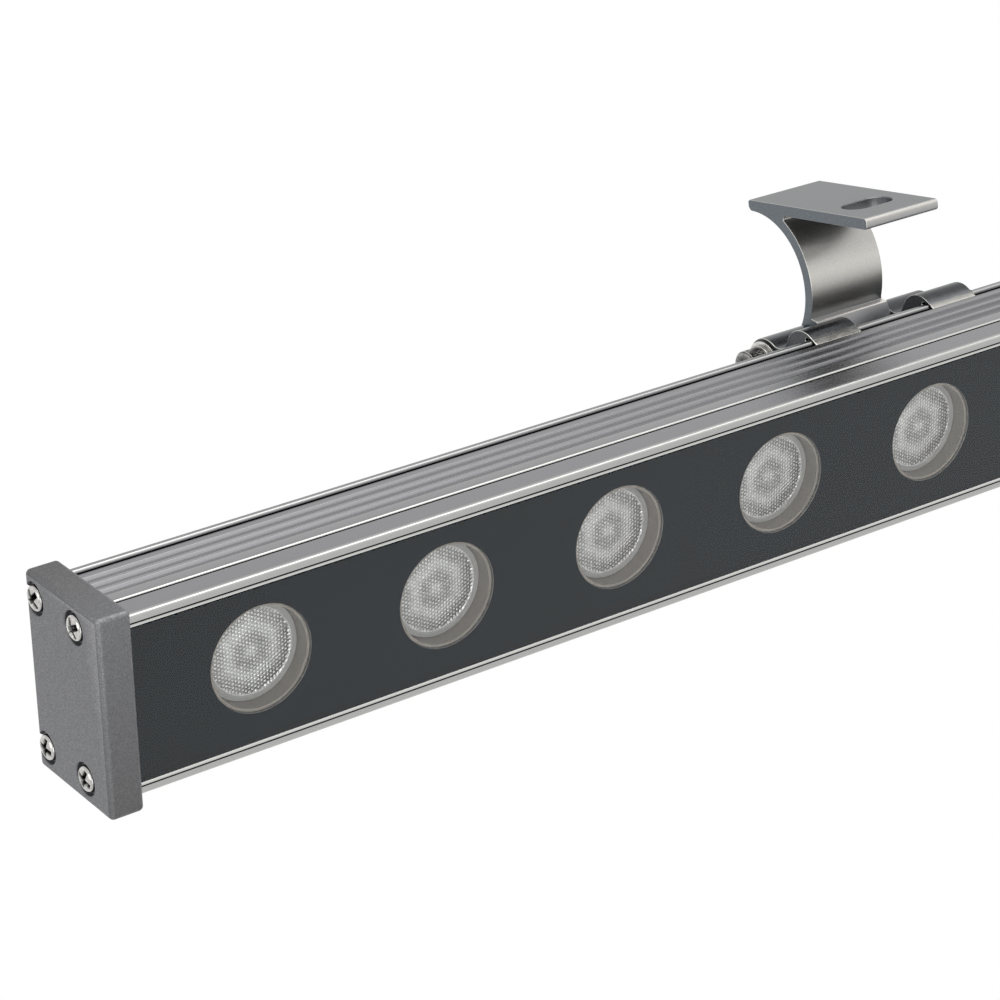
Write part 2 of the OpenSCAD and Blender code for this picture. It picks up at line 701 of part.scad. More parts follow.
module hook_lip() {
  lip_y = rear_y - bead_w - clip_gap;
  tip_z = half_h - groove_d + clip_gap;
  top_z = half_h + clip_gap;
  polygon([[lip_y - lip_t, tip_z], [lip_y, tip_z], [lip_y, half_h - bead_chamfer + clip_gap / 2],
           [lip_y + bead_chamfer + clip_gap / 2, top_z], [rear_y, top_z],
           [rear_y, crown_z + sqrt(pow(crown_r, 2) - pow(crown_behind, 2))],
           [lip_y + lip_t / 2, top_z + clip_gap], [lip_y - lip_t, half_h - groove_d + lip_t / 2 + clip_gap]]);
}

module clip(x) color("lightslategray") in_lamp() translate([x, 0, 0]) difference() {
  along_lamp(clip_w) clip_section();
  translate([-clip_w, hinge_y, hinge_rise]) rotate([0, 90, 0]) cylinder(r = bore_r, h = 2 * clip_w);
  translate([0, rear_y, -set_screw_drop]) rotate([-90, 0, 0])
    cylinder(d = bolt_d + 2 * thread_fit, h = foot_t + over);
}

clip_x = (arm_w + clip_w) / 2 + arm_gap;

module left_head_clip() at_bracket(-1) clip(-clip_x);
module left_nut_clip() at_bracket(-1) clip(clip_x);
module right_head_clip() at_bracket(1) clip(-clip_x);
module right_nut_clip() at_bracket(1) clip(clip_x);

module clip_screws() color("gainsboro") in_lamp() for (x = [-clip_x, clip_x])
  translate([x, rear_y + lay_fit, -set_screw_drop]) rotate([-90, 0, 0]) difference() {
    cylinder(d = bolt_d, h = set_screw_l);
    translate([0, 0, set_screw_l - socket_depth]) hexagon(set_socket, socket_depth + over);
  }

module left_clip_screws() at_bracket(-1) clip_screws();
module right_clip_screws() at_bracket(1) clip_screws();

// Hinge hardware, along +X from the outer face of the clip at the bolt's head

module at_hinge() in_lamp() translate([-bracket_w / 2, hinge_y, hinge_rise]) rotate([0, 90, 0]) children();

head_x = flat_washer_t + spring_washer_t;

module hinge_bolt() color("gainsboro") at_hinge() translate([0, 0, -head_x]) {
  cylinder(d = bolt_d, h = bolt_l);
  difference() {
    union() {
      translate([0, 0, bolt_head_chamfer - bolt_head_h])
        cylinder(d = bolt_head_d, h = bolt_head_h - bolt_head_chamfer);
      translate([0, 0, -bolt_head_h])
        cylinder(d1 = bolt_head_d - 2 * bolt_head_chamfer, d2 = bolt_head_d, h = bolt_head_chamfer);
    }
    translate([0, 0, -bolt_head_h - over]) hexagon(bolt_socket, socket_depth + over);
  }
}

module ring(outer_d, height) difference() {
  cylinder(d = outer_d, h = height);
  translate([0, 0, -over]) cylinder(d = bolt_d + 2 * hinge_fit, h = height + 2 * over);
}

module spring_washer() color("silver") at_hinge() translate([0, 0, -head_x]) difference() {
  ring(spring_washer_d, spring_washer_t);
  rotate([0, 0, 30]) translate([0, -washer_slit / 2, -over])
    cube([spring_washer_d, washer_slit, spring_washer_t + 2 * over]);
}

module flat_washer() color("silver") at_hinge() translate([0, 0, -flat_washer_t])
  ring(flat_washer_d, flat_washer_t);

module hinge_nut() color("silver") at_hinge() translate([0, 0, bracket_w]) difference() {
  hexagon(nut_flats, nut_t);
  translate([0, 0, -over]) cylinder(d = bolt_d + 2 * thread_fit, h = nut_t + 2 * over);
}

module left_hinge_bolt() at_bracket(-1) hinge_bolt();
module left_spring_washer() at_bracket(-1) spring_washer();
module left_flat_washer() at_bracket(-1) flat_washer();
module left_hinge_nut() at_bracket(-1) hinge_nut();
module right_hinge_bolt() at_bracket(1) hinge_bolt();
module right_spring_washer() at_bracket(1) spring_washer();
module right_flat_washer() at_bracket(1) flat_washer();
module right_hinge_nut() at_bracket(1) hinge_nut();

housing();
front_glass();
glass_mask();
glass_seal();
left_led_board();
right_led_board();
left_thermal_pad();
right_thermal_pad();
board_screws();
led_chips();
driver_modules();
board_link();
supply_terminal();
lens_holders();
lenses();
left_end_cap();
right_end_cap();
left_end_gasket();
right_end_gasket();
left_cap_screws();
right_cap_screws();
gland_body();
gland_washer();
gland_seal();
gland_nut();
gland_lock_nut();
left_bracket_arm();
left_head_clip();
left_nut_clip();
left_clip_screws();
left_hinge_bolt();
left_spring_washer();
left_flat_washer();
left_hinge_nut();
right_bracket_arm();
right_head_clip();
right_nut_clip();
right_clip_screws();
right_hinge_bolt();
right_spring_washer();
right_flat_washer();
right_hinge_nut();
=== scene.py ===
import json
import math
import bmesh
import bpy
import numpy as np
from mathutils import Matrix, Vector


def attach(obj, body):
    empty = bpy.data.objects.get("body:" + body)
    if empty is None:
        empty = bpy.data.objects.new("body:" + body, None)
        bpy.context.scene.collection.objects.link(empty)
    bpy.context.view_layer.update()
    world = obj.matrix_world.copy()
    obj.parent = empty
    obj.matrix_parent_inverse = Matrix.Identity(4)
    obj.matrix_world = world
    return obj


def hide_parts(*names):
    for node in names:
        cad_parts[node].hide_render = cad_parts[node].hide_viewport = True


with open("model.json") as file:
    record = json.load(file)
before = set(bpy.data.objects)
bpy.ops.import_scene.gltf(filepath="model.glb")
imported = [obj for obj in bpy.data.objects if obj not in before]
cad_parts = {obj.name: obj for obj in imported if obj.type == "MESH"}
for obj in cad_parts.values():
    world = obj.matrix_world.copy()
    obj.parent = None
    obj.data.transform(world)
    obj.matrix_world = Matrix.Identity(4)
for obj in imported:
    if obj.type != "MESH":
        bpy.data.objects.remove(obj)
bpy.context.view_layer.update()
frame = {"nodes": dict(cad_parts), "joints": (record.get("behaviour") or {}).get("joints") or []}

print("linear floodlight: frame loaded,", len(frame["nodes"]), "nodes")

# lengths are millimetres until a piece is placed
# lamp places: X along the lamp, depth from the caps' front faces to the rear, height from the middle
mm = 0.001
lamp = dict(length=1000.0, tilt=9.6, front=2.1, depth=22.5, height=35.3, capThickness=6.8, pocket=2.0,
            hingeDepth=37.65, hingeHeight=8.5, boardDepth=19.5, ledPitch=40.5, ledCount=24,
            portDepths=(8.7, 22.75), portHeight=14.95, bracketSpacing=594.0)
halfHeight = lamp["height"] / 2
rearDepth = lamp["front"] + lamp["depth"]
innerX = lamp["length"] / 2 - lamp["capThickness"]
ports = [(d, h) for d in lamp["portDepths"] for h in (-lamp["portHeight"], lamp["portHeight"])]  # the screws' places
ledPlaces = [(i - (lamp["ledCount"] - 1) / 2) * lamp["ledPitch"] for i in range(lamp["ledCount"])]
hinge = Vector(next(j for j in frame["joints"] if j["name"] == "lamp_tilt")["pos_m"]) / mm


def lampPlace(points):
    # turns lamp places about the hinge by the lamp's tilt and gives metres in the row frame
    points = np.asarray(points, float)
    turn = math.radians(lamp["tilt"])
    depth = points[..., 1] - lamp["hingeDepth"]
    height = points[..., 2] - lamp["hingeHeight"]
    y = hinge.y + depth * math.cos(turn) - height * math.sin(turn)
    z = hinge.z + depth * math.sin(turn) + height * math.cos(turn)
    return np.stack([points[..., 0], y, z], -1) * mm


def lampFind(points):
    # the lamp places of points in the row frame
    turn = math.radians(lamp["tilt"])
    y, z = points[:, 1] / mm - hinge.y, points[:, 2] / mm - hinge.z
    depth = y * math.cos(turn) + z * math.sin(turn) + lamp["hingeDepth"]
    height = z * math.cos(turn) - y * math.sin(turn) + lamp["hingeHeight"]
    return np.stack([points[:, 0] / mm, depth, height], -1)


def armPlace(points):
    # places measured from the hinge axis, under level plates
    return (np.asarray(points, float) + [0, hinge.y, hinge.z]) * mm


def shown(name, data):
    # an object for the data, put into the scene
    item = bpy.data.objects.new(name, data)
    bpy.context.scene.collection.objects.link(item)
    return item


# camera, fitted to the straight edges of the photograph
camera = dict(place=(-0.72066151, -0.48718774, 0.14445628), turn=(72.59565, 6.41370, -35.63318), lens=113.314)
cameraData = bpy.data.cameras.new("photoCamera")
cameraData.lens, cameraData.sensor_width = camera["lens"], 36.0
cameraData.clip_start, cameraData.clip_end = 0.01, 50
cameraObject = shown("photoCamera", cameraData)
cameraObject.location = camera["place"]
cameraObject.rotation_euler = [math.radians(a) for a in camera["turn"]]
bpy.context.scene.camera = cameraObject


# finishes

def colour(hexText):
    # sRGB hex to linear
    values = np.array([int(hexText[i:i + 2], 16) for i in (1, 3, 5)]) / 255
    linear = np.where(values <= 0.04045, values / 12.92, ((values + 0.055) / 1.055) ** 2.4)
    return (*[float(v) for v in linear], 1.0)


def fill(tree, node, inputs):
    # links a socket to an input, or sets a plain value on it
    for key, value in inputs.items():
        if isinstance(value, bpy.types.NodeSocket):
            tree.links.new(value, node.inputs[key])
        else:
            node.inputs[key].default_value = value


def addNode(tree, kind, inputs=None, **settings):
    # a node with its properties set and its inputs filled
    node = tree.nodes.new(kind)
    for key, value in settings.items():
        setattr(node, key, value)
    fill(tree, node, inputs or {})
    return node


def newMaterial(name):
    # a material with its node tree, its shader and the piece's own places
    material = bpy.data.materials.new(name)
    material.use_nodes = True
    tree = material.node_tree
    shader = next(n for n in tree.nodes if n.type == "BSDF_PRINCIPLED")
    place = addNode(tree, "ShaderNodeTexCoord").outputs["Object"]
    return material, tree, shader, place


def rampOf(tree, fac, stops):
    # a value turned into colours, or into plain values, by stops of (position, colour or value)
    node = addNode(tree, "ShaderNodeValToRGB", {"Fac": fac})
    elements = node.color_ramp.elements
    while len(elements) < len(stops):
        elements.new(0.5)
    for element, (position, value) in zip(elements, stops):
        element.position = position
        element.color = colour(value) if isinstance(value, str) else (value, value, value, 1)
    return node.outputs["Color"]


def noiseOf(tree, place, grain, detail=2.0, stretch=(1, 1, 1)):
    # noise whose grain is given in millimetres, drawn out along X, Y and Z by the stretch
    scaled = addNode(tree, "ShaderNodeMapping", {"Vector": place, "Scale": tuple(1 / s for s in stretch)})
    return addNode(tree, "ShaderNodeTexNoise", {
        "Vector": scaled.outputs["Vector"], "Scale": 1 / (grain * mm), "Detail": detail}).outputs["Fac"]


def bumpOf(tree, shader, layers):
    # layers of (height, strength, depth in millimetres), one upon the other
    below = {}
    for height, strength, depth in layers:
        node = addNode(tree, "ShaderNodeBump", {"Height": height, "Strength": strength, "Distance": depth * mm})
        fill(tree, node, below)
        below = {"Normal": node.outputs["Normal"]}
    fill(tree, shader, below)


def toned(tree, tones, speckle, amount):
    # colour by the piece's own tone, from painted shade in the hollows at 0 to painted highlights on the edges at 1,
    # with a little speckle
    tone = addNode(tree, "ShaderNodeAttribute", attribute_name="tone").outputs["Fac"]
    shifted = addNode(tree, "ShaderNodeMath", {0: speckle, 1: amount, 2: tone}, operation="MULTIPLY_ADD").outputs[0]
    centred = addNode(tree, "ShaderNodeMath", {0: shifted, 1: amount / 2}, operation="SUBTRACT").outputs[0]
    return rampOf(tree, centred, list(zip((0.0, 0.25, 0.5, 0.75, 1.0), tones)))


def anodised(name, tones, rough, dieLine=0.3, dieDepth=0.003, grit=0.3, gritDepth=0.005, stretch=1.0, amount=0.1):
    # extruded aluminium, bead blasted and anodised: faint die lines along the bar under a fine matt grit
    material, tree, shader, place = newMaterial(name)
    lines = noiseOf(tree, place, dieLine, 3.0, (200, 1, 1))
    etch = noiseOf(tree, place, grit, 2.0, (stretch, 1, 1))
    both = addNode(tree, "ShaderNodeMix", {0: 0.65, 2: lines, 3: etch}).outputs[0]
    fill(tree, shader, {"Base Color": toned(tree, tones, both, amount), "Metallic": 1.0,
                        "Roughness": rampOf(tree, both, [(0.3, rough - 0.05), (0.7, rough + 0.05)])})
    bumpOf(tree, shader, [(lines, 0.4, dieDepth), (etch, 0.6, gritDepth)])
    return material


def powderCoat(name, tones, flakeSize=0.16, peelSize=0.7):
    # die-cast aluminium under a metallic powder coat: fine flakes in a shallow orange peel
    material, tree, shader, place = newMaterial(name)
    cells = addNode(tree, "ShaderNodeTexVoronoi", {"Vector": place, "Scale": 1 / (flakeSize * mm)}).outputs["Color"]
    flake = addNode(tree, "ShaderNodeSeparateColor", {"Color": cells}).outputs[0]
    peel = noiseOf(tree, place, peelSize, 3.0)
    fill(tree, shader, {"Base Color": toned(tree, tones, flake, 0.2), "Metallic": 0.6,
                        "Roughness": rampOf(tree, flake, [(0.0, 0.5), (1.0, 0.36)])})
    bumpOf(tree, shader, [(peel, 0.5, 0.02), (flake, 0.2, 0.006)])
    return material


def brightMetal(name, tones, rough, wear=0.7, amount=0.5):
    # cold headed or turned metal, tumbled bright: mirror-like, with painted shade in its recesses, with a faint drag
    # of wear
    material, tree, shader, place = newMaterial(name)
    drag = noiseOf(tree, place, wear, 4.0)
    fill(tree, shader, {"Base Color": toned(tree, tones, drag, amount), "Metallic": 1.0,
                        "Roughness": rampOf(tree, drag, [(0.3, rough - 0.05), (0.7, rough + 0.06)])})
    bumpOf(tree, shader, [(drag, 0.3, 0.01)])
    return material


def moulded(name, dark, light, grain, rough, depth=0.01, metallic=0.0):
    # a fine even grain, as spark-eroded tools, fired ink and sawn metal leave it
    material, tree, shader, place = newMaterial(name)
    noise = noiseOf(tree, place, grain, 3.0)
    fill(tree, shader, {"Base Color": rampOf(tree, noise, [(0.3, dark), (0.7, light)]), "Roughness": rough,
                        "Metallic": metallic})
    bumpOf(tree, shader, [(noise, 0.3, depth)])
    return material


def floatGlass(name):
    # toughened float glass: clear, bends what lies behind it and mirrors more towards grazing angles
    material, tree, shader, place = newMaterial(name)
    streak = noiseOf(tree, place, 40.0, 1.0)
    fill(tree, shader, {"Base Color": rampOf(tree, streak, [(0.3, "#fdfefd"), (0.7, "#ffffff")]), "Roughness": 0.0,
                        "IOR": 1.48, "Transmission Weight": 1.0})
    return material


def acrylic(name, tones, rough, silver, transmission=1.0):
    # moulded acrylic optics: clear, with a silvery share for the total reflection behind the front
    material, tree, shader, place = newMaterial(name)
    haze = noiseOf(tree, place, 0.5, 1.0)
    fill(tree, shader, {"Base Color": toned(tree, tones, haze, 0.1), "IOR": 1.49, "Metallic": silver,
                        "Roughness": rampOf(tree, haze, [(0.3, rough), (0.7, rough + 0.04)]),
                        "Transmission Weight": transmission})
    return material


# each ramp of five tones runs from painted shade at 0 to painted highlight at 1, picked by the pieces' tone
finishes = dict(
    housing=anodised("aluminiumExtrudedAnodised", ("#161618", "#69696b", "#8d8d8f", "#bcbcb9", "#eae9e5"), 0.28),
    arms=anodised("aluminiumExtrudedBlasted", ("#3c3d3f", "#77797a", "#96979a", "#b9b7b3", "#e6e3dc"), 0.36,
                  dieLine=0.2, grit=0.32, gritDepth=0.012, stretch=1.5, amount=0.24),
    clips=anodised("aluminiumClipAnodised", ("#2b2c2d", "#4c4e50", "#75777a", "#b4b2ac", "#ece9e2"), 0.28, grit=0.5,
                   gritDepth=0.012, stretch=4.0, amount=0.22),
    sawn=moulded("aluminiumSawnAnodised", "#5f656a", "#777d82", 0.35, 0.45, 0.02, 0.75),
    clipSawn=moulded("aluminiumClipSawn", "#424447", "#5b5d60", 0.4, 0.4, 0.03, 0.75),
    caps=powderCoat("aluminiumDieCastPowderCoated", ("#3f3f40", "#595857", "#717276", "#a09f9d", "#c9c7c2")),
    steel=brightMetal("stainlessSteelColdHeaded", ("#191919", "#5f5f5e", "#a3a29f", "#cfcdc9", "#eeece8"), 0.16),
    gland=brightMetal("brassTurnedNickelPlated", ("#2a2825", "#75716a", "#a8a49b", "#c2beb4", "#dedad0"), 0.20,
                      amount=0.12),
    mask=moulded("ceramicInkFired", "#0a1a22", "#0d1e27", 30.0, 0.6),
    # the ink's edge faces are painted light grey, a painted highlight
    maskEdge=moulded("ceramicInkEdgeHighlight", "#9b9a95", "#b5b4ae", 0.5, 0.5),
    glass=floatGlass("floatGlassToughened"),
    rubber=moulded("siliconeRubberMoulded", "#101010", "#191919", 0.4, 0.6),
    board=moulded("solderResistWhite", "#cfcdc5", "#dad8d2", 0.8, 0.35),
    pad=moulded("thermalPadSilicone", "#59676e", "#65747b", 0.5, 0.7),
    holder=moulded("nylonHolderMoulded", "#8d857b", "#9b9389", 0.4, 0.45),
    chip=moulded("phosphorSiliconeDome", "#c9b568", "#ddcb84", 0.3, 0.2),
    driver=moulded("pottingCompoundCast", "#141416", "#1d1d20", 0.6, 0.4),
    link=moulded("nylonConnectorMoulded", "#d2ccb9", "#dcd6c6", 0.5, 0.4),
    terminal=moulded("terminalNylonMoulded", "#1f5a33", "#286b3e", 0.5, 0.4),
    lens=acrylic("acrylicOpticsMoulded", ("#444444", "#a0a09e", "#dededc", "#f6f6f4", "#ffffff"), 0.04, 0.5),
    lensRim=acrylic("acrylicRimFrosted", ("#d9d9d6",) * 5, 0.4, 0.0, 0.4),
    lensFlank=acrylic("acrylicFlankMirrored", ("#c4c4c3",) * 5, 0.06, 0.9))

# the CAD pieces that wear each finish; arms, clips and plain steel go by their names
nodesOf = dict(
    glass="front_glass", mask="glass_mask", board="left_led_board right_led_board", lens="lenses",
    pad="left_thermal_pad right_thermal_pad", chip="led_chips", driver="driver_modules", link="board_link",
    terminal="supply_terminal", holder="lens_holders", housing="housing", caps="left_end_cap right_end_cap",
    rubber="glass_seal left_end_gasket right_end_gasket gland_washer gland_seal",
    gland="gland_body gland_nut gland_lock_nut")
nodeFinish = {name: finish for finish, names in nodesOf.items() for name in names.split()}
inkShader = next(n for n in finishes["mask"].node_tree.nodes if n.type == "BSDF_PRINCIPLED")
inkShader.inputs["Specular IOR Level"].default_value = 0.0  # no mirror between ink and glass
for name, node in frame["nodes"].items():
    finish = nodeFinish.get(name, "arms" if "arm" in name else "clips" if name.endswith("_clip") else "steel")
    node.data.materials.clear()
    node.data.materials.append(finishes[finish])
print("linear floodlight:", len(finishes), "finishes made")


# shapes as grids of points

def skin(grid, wrapU=False, wrapV=True, capStart=False, capEnd=False):
    # quads between the rows and columns of a grid, with a flat face on an open end
    nu, nv = grid.shape[:2]
    index = np.arange(nu * nv).reshape(nu, nv)
    if wrapU:
        index = np.concatenate([index, index[:1]], 0)
    if wrapV:
        index = np.concatenate([index, index[:, :1]], 1)
    quads = np.stack([index[:-1, :-1], index[:-1, 1:], index[1:, 1:], index[1:, :-1]], -1).reshape(-1, 4).tolist()
    if capStart:
        quads.append(index[0, :nv][::-1].tolist())
    if capEnd:
        quads.append(index[nu - 1, :nv].tolist())
    return grid.reshape(-1, 3), quads


def joined(parts):
    # several shapes as one, each one's faces counted on from the points before it
    vertices, faces, offset = [], [], 0
    for some, theirs in parts:
        vertices.append(np.asarray(some))
        faces += [[k + offset for k in face] for face in theirs]
        offset += len(some)
    return np.concatenate(vertices), faces


def moved(shape, x=0.0, depth=0.0, height=0.0):
    # every point shifted by the same three lengths
    return shape[0] + [x, depth, height], shape[1]


def ringOf(x, radius, angles):
    # points round the X axis at each angle, at a distance along it and a radius
    return np.stack([x + 0 * angles, radius * np.cos(angles), radius * np.sin(angles)], -1)


def anglesRound(steps):
    # equal steps from 0 to a full turn, which itself is left out
    return np.linspace(0, 2 * math.pi, steps, endpoint=False)


def arcOf(centre, radius, start, end, steps):
    # points on a circle from one angle in degrees to another
    angles = np.radians(np.linspace(start, end, steps + 1))
    return np.asarray(centre) + radius * np.stack([np.cos(angles), np.sin(angles)], 1)


def softened(corners, steps=5):
    # a closed outline of (depth, height, radius): each corner becomes an arc tangent to both its sides
    corners = [(*c, 0.0)[:3] for c in corners]
    points = np.array([c[:2] for c in corners], float)
    loop = []
    for i, (_, _, radius) in enumerate(corners):
        here = points[i]
        before, after = points[i - 1] - here, points[(i + 1) % len(points)] - here
        nearest = min(np.linalg.norm(before), np.linalg.norm(after))
        before, after = before / np.linalg.norm(before), after / np.linalg.norm(after)
        bend = math.acos(float(np.clip(before @ after, -1, 1)))
        if radius <= 0 or bend > math.pi - 0.02:
            loop.append(here[None])
            continue
        reach = min(radius / math.tan(bend / 2), nearest * 0.5)
        radius = reach * math.tan(bend / 2)
        middle = here + (before + after) / np.linalg.norm(before + after) * radius / math.sin(bend / 2)
        start, end = here + before * reach - middle, here + after * reach - middle
        first = math.atan2(start[1], start[0])
        sweep = (math.atan2(end[1], end[0]) - first + math.pi) % (2 * math.pi) - math.pi
        loop.append(arcOf(middle, radius, math.degrees(first), math.degrees(first + sweep), steps))
    return np.concatenate(loop)


def shrunk(loop, distance):
    # moves a closed outline inwards along the mean of its two edge normals
    ahead = np.roll(loop, -1, 0) - loop
    behind = loop - np.roll(loop, 1, 0)
    ahead /= np.linalg.norm(ahead, axis=1, keepdims=True)
    behind /= np.linalg.norm(behind, axis=1, keepdims=True)
    mean = ahead + behind
    mean /= np.linalg.norm(mean, axis=1, keepdims=True)
    area = 0.5 * np.sum(loop[:, 0] * np.roll(loop[:, 1], -1) - np.roll(loop[:, 0], -1) * loop[:, 1])
    normal = np.stack([-mean[:, 1], mean[:, 0]], 1) * np.sign(area)
    lean = np.clip(np.sum(mean * ahead, 1, keepdims=True), 0.6, 1)
    return loop + normal * distance / lean


def barAlong(loop, x0, x1, edge=0.15, steps=3):
    # a closed outline of depth and height carried along X, its end edges eased by quarter circles
    turns = np.linspace(0, math.pi / 2, steps + 1)
    rows = [(x0 + edge * (1 - math.cos(t)), edge * (1 - math.sin(t))) for t in turns]
    rows += [(x0 + x1 - x, inset) for x, inset in rows[::-1]]
    grid = np.stack([np.column_stack([np.full(len(loop), x), shrunk(loop, inset)]) for x, inset in rows])
    return skin(grid, capStart=True, capEnd=True)


def turned(profile, steps=64, closed=False):
    # a profile of (radius, height) turned about the X axis, heights along X
    profile = np.asarray(profile, float)
    return skin(ringOf(profile[:, 1:2], profile[:, :1], anglesRound(steps)), wrapU=closed,
                capStart=not closed and profile[0, 0] > 1e-6, capEnd=not closed and profile[-1, 0] > 1e-6)


def hexagon(width, x0, x1):
    # a plain six-sided bar of the given width across its corners
    return skin(np.stack([ringOf(x, width / 2, anglesRound(6)) for x in (x0, x1)]), capStart=True, capEnd=True)


def hexRadius(flats, angles):
    # distance from the middle of a hexagon to its side at an angle
    return flats / 2 / np.cos((angles + math.pi / 6) % (math.pi / 3) - math.pi / 6)


nut = dict(trim=0.985, ease=0.09, lip=0.25, slope=math.tan(math.radians(60)))  # trim and ease are shares of the flats


def hexagonNut(flats, height, bore, steps=96):
    # a hexagon whose corners are turned off at 30 degrees, round a bore with eased mouths
    angles = anglesRound(steps)
    ease, lip = np.linspace(0, nut["ease"] * flats / 2, 4), nut["lip"]
    rows = [(h, np.minimum(hexRadius(flats, angles), flats / 2 * nut["trim"] + d * nut["slope"]))
            for h, d in [(e, e) for e in ease] + [(height - e, e) for e in ease[::-1]]]
    rows = [(0, bore + lip), *rows, (height, bore + lip), (height - lip, bore), (lip, bore)]
    return skin(np.stack([ringOf(h, r, angles) for h, r in rows]), wrapU=True)


def dished(count, radius, heightAt, skirt, every=1, crowd=1.0):
    # a square grid bent round into a disc, its height a function of place, with rings below it to close the body
    line = np.linspace(-1, 1, count + 1)
    u, v = np.meshgrid(line, line, indexing="ij")
    swap = np.abs(v) > np.abs(u)
    major, minor = np.where(swap, v, u), np.where(swap, u, v)
    slant = math.pi / 4 * minor / np.where(major == 0, 1, major)
    slant = np.where(swap, math.pi / 2 - slant, slant)
    reach = np.sign(major) * (1 - (1 - np.abs(major)) ** crowd)
    x, y = radius * reach * np.cos(slant), radius * reach * np.sin(slant)
    vertices, faces = skin(np.stack([heightAt(x, y), x, y], -1), wrapV=False)
    index = np.arange((count + 1) ** 2).reshape(count + 1, count + 1)
    edge = np.concatenate([index[:-1, 0], index[-1, :-1], index[:0:-1, -1], index[0, :0:-1]])
    rim = vertices[edge][::every, 1:]
    rim = rim / np.linalg.norm(rim, axis=1, keepdims=True)
    n = len(rim)
    rings = np.stack([np.column_stack([np.full(n, h), rim * r]) for r, h in skirt])
    below, belowFaces = skin(rings, capEnd=True)
    base = len(vertices)
    for i in range(n):
        above = edge[np.arange(i * every, (i + 1) * every + 1) % len(edge)].tolist()
        faces.append([base + i, *above, base + (i + 1) % n][::-1])
    faces += [[k + base for k in face] for face in belowFaces]
    return np.concatenate([vertices, below]), faces


def toneAt(values, pairs):
    # tones between pairs of (place, tone), drawn as straight lines from one pair to the next
    return np.interp(values, *zip(*pairs))


def highlightedEnds(points, tone, width, ease, least):
    # brightens the eased edges at the two sawn ends of a bar with a painted highlight
    along = np.abs(points[:, 0])
    return np.where((along > width / 2 - ease) & (along < width / 2 - 0.01), np.maximum(tone, least), tone)


def cleaned(data, near):
    # merges doubled points and turns the faces outwards
    work = bmesh.new()
    work.from_mesh(data)
    bmesh.ops.remove_doubles(work, verts=work.verts, dist=near)
    bmesh.ops.recalc_face_normals(work, faces=work.faces)
    work.to_mesh(data)
    work.free()


def carved(solid, *cutters):
    # takes closed shapes away from a closed shape
    made = []
    for vertices, faces in (solid, joined(cutters)):
        data = bpy.data.meshes.new("carving")
        data.from_pydata(np.asarray(vertices).tolist(), [], faces)
        cleaned(data, 1e-5)
        made.append(shown("carving", data))
    cut = made[0].modifiers.new("cut", "BOOLEAN")
    cut.operation, cut.solver, cut.object = "DIFFERENCE", "EXACT", made[1]
    result = bpy.data.meshes.new_from_object(made[0].evaluated_get(bpy.context.evaluated_depsgraph_get()))
    places = np.empty(len(result.vertices) * 3)
    result.vertices.foreach_get("co", places)
    faces = [list(p.vertices) for p in result.polygons]
    for item in made:
        data = item.data
        bpy.data.objects.remove(item)
        bpy.data.meshes.remove(data)
    bpy.data.meshes.remove(result)
    return places.reshape(-1, 3), faces


def addPiece(name, shape, place, finish, body, slot, replaced, sharp=35.0, tone=None, others=()):
    # places a shape and makes it ride its body; tone gives each point its painted lightness, standing for light and
    # shade
    # others are further finishes, each with a test of the faces' normals and centres
    vertices, faces = shape
    data = bpy.data.meshes.new(name)
    data.from_pydata(place(vertices).tolist(), [], faces)
    values = np.full(len(vertices), 0.5) if tone is None else tone(np.asarray(vertices))
    data.attributes.new("tone", "FLOAT", "POINT").data.foreach_set("value", values.astype(np.float32))
    cleaned(data, 2e-7)
    data.shade_smooth()
    data.set_sharp_from_angle(angle=math.radians(sharp))
    data.materials.append(finishes[finish])
    indices = np.zeros(len(data.polygons), np.int32)
    normals, centres = np.empty(len(indices) * 3), np.empty(len(indices) * 3)
    data.polygons.foreach_get("normal", normals)
    data.polygons.foreach_get("center", centres)
    for number, (otherFinish, test) in enumerate(others, 1):
        data.materials.append(finishes[otherFinish])
        indices[test(normals.reshape(-1, 3), centres.reshape(-1, 3))] = number
    data.polygons.foreach_set("material_index", indices)
    piece = shown(name, data)
    piece.modifiers.new("evenNormals", "WEIGHTED_NORMAL").keep_sharp = True
    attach(piece, body)
    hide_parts(*replaced)


def cutEnd(normals, centres):
    # faces across the bar, where it was sawn off
    return np.abs(normals[:, 0]) > 0.9


# housing: one extruded section, both sides alike

profile = dict(mouth=15.25, shelf=5.7, window=13.6, rearWall=21.6, bossRadius=2.6, line=(15.9, 16.15),
               lineDepth=0.25, land=7.8, shadow=8.6, shadowDepth=0.9, flutes=(12.66, 15.63, 18.6), fluteRadius=1.5,
               fluteDepth=0.5, groove=(21.45, 22.85), grooveDepth=1.0, beadChamfer=0.5,
               # tones at depths from the front, from a flute's middle, at the rear and at heights on the front face:
               # painted shade in the grooves and flutes, painted highlights on the rounded edges
               frontTones=[(2.1, 0.7), (2.3, 0.92), (2.55, 0.75), (2.8, 0.46), (7.75, 0.47), (7.8, 0.02), (8.6, 0.02),
                           (8.62, 0.8), (8.8, 0.92), (8.92, 0.66), (9.02, 0.5)],
               fluteTones=[(-1.12, 0.55), (-0.4, 0.48), (0.3, 0.38), (0.7, 0.28), (0.95, 0.3), (1.13, 0.52)],
               rearTones=[(21.0, 0.53), (21.25, 0.05), (21.45, 0.08), (22.98, 0.08), (23.08, 0.5), (23.18, 0.9),
                          (23.3, 0.8), (23.5, 0.5), (24.6, 0.44)],
               faceTones=[(15.25, 1.0), (15.5, 0.85), (15.85, 0.75), (15.9, 0.05), (16.15, 0.05), (16.2, 0.68),
                          (17.2, 0.7)], faceTo=17.16, inner=(15.7, 24.0), innerTone=0.4)


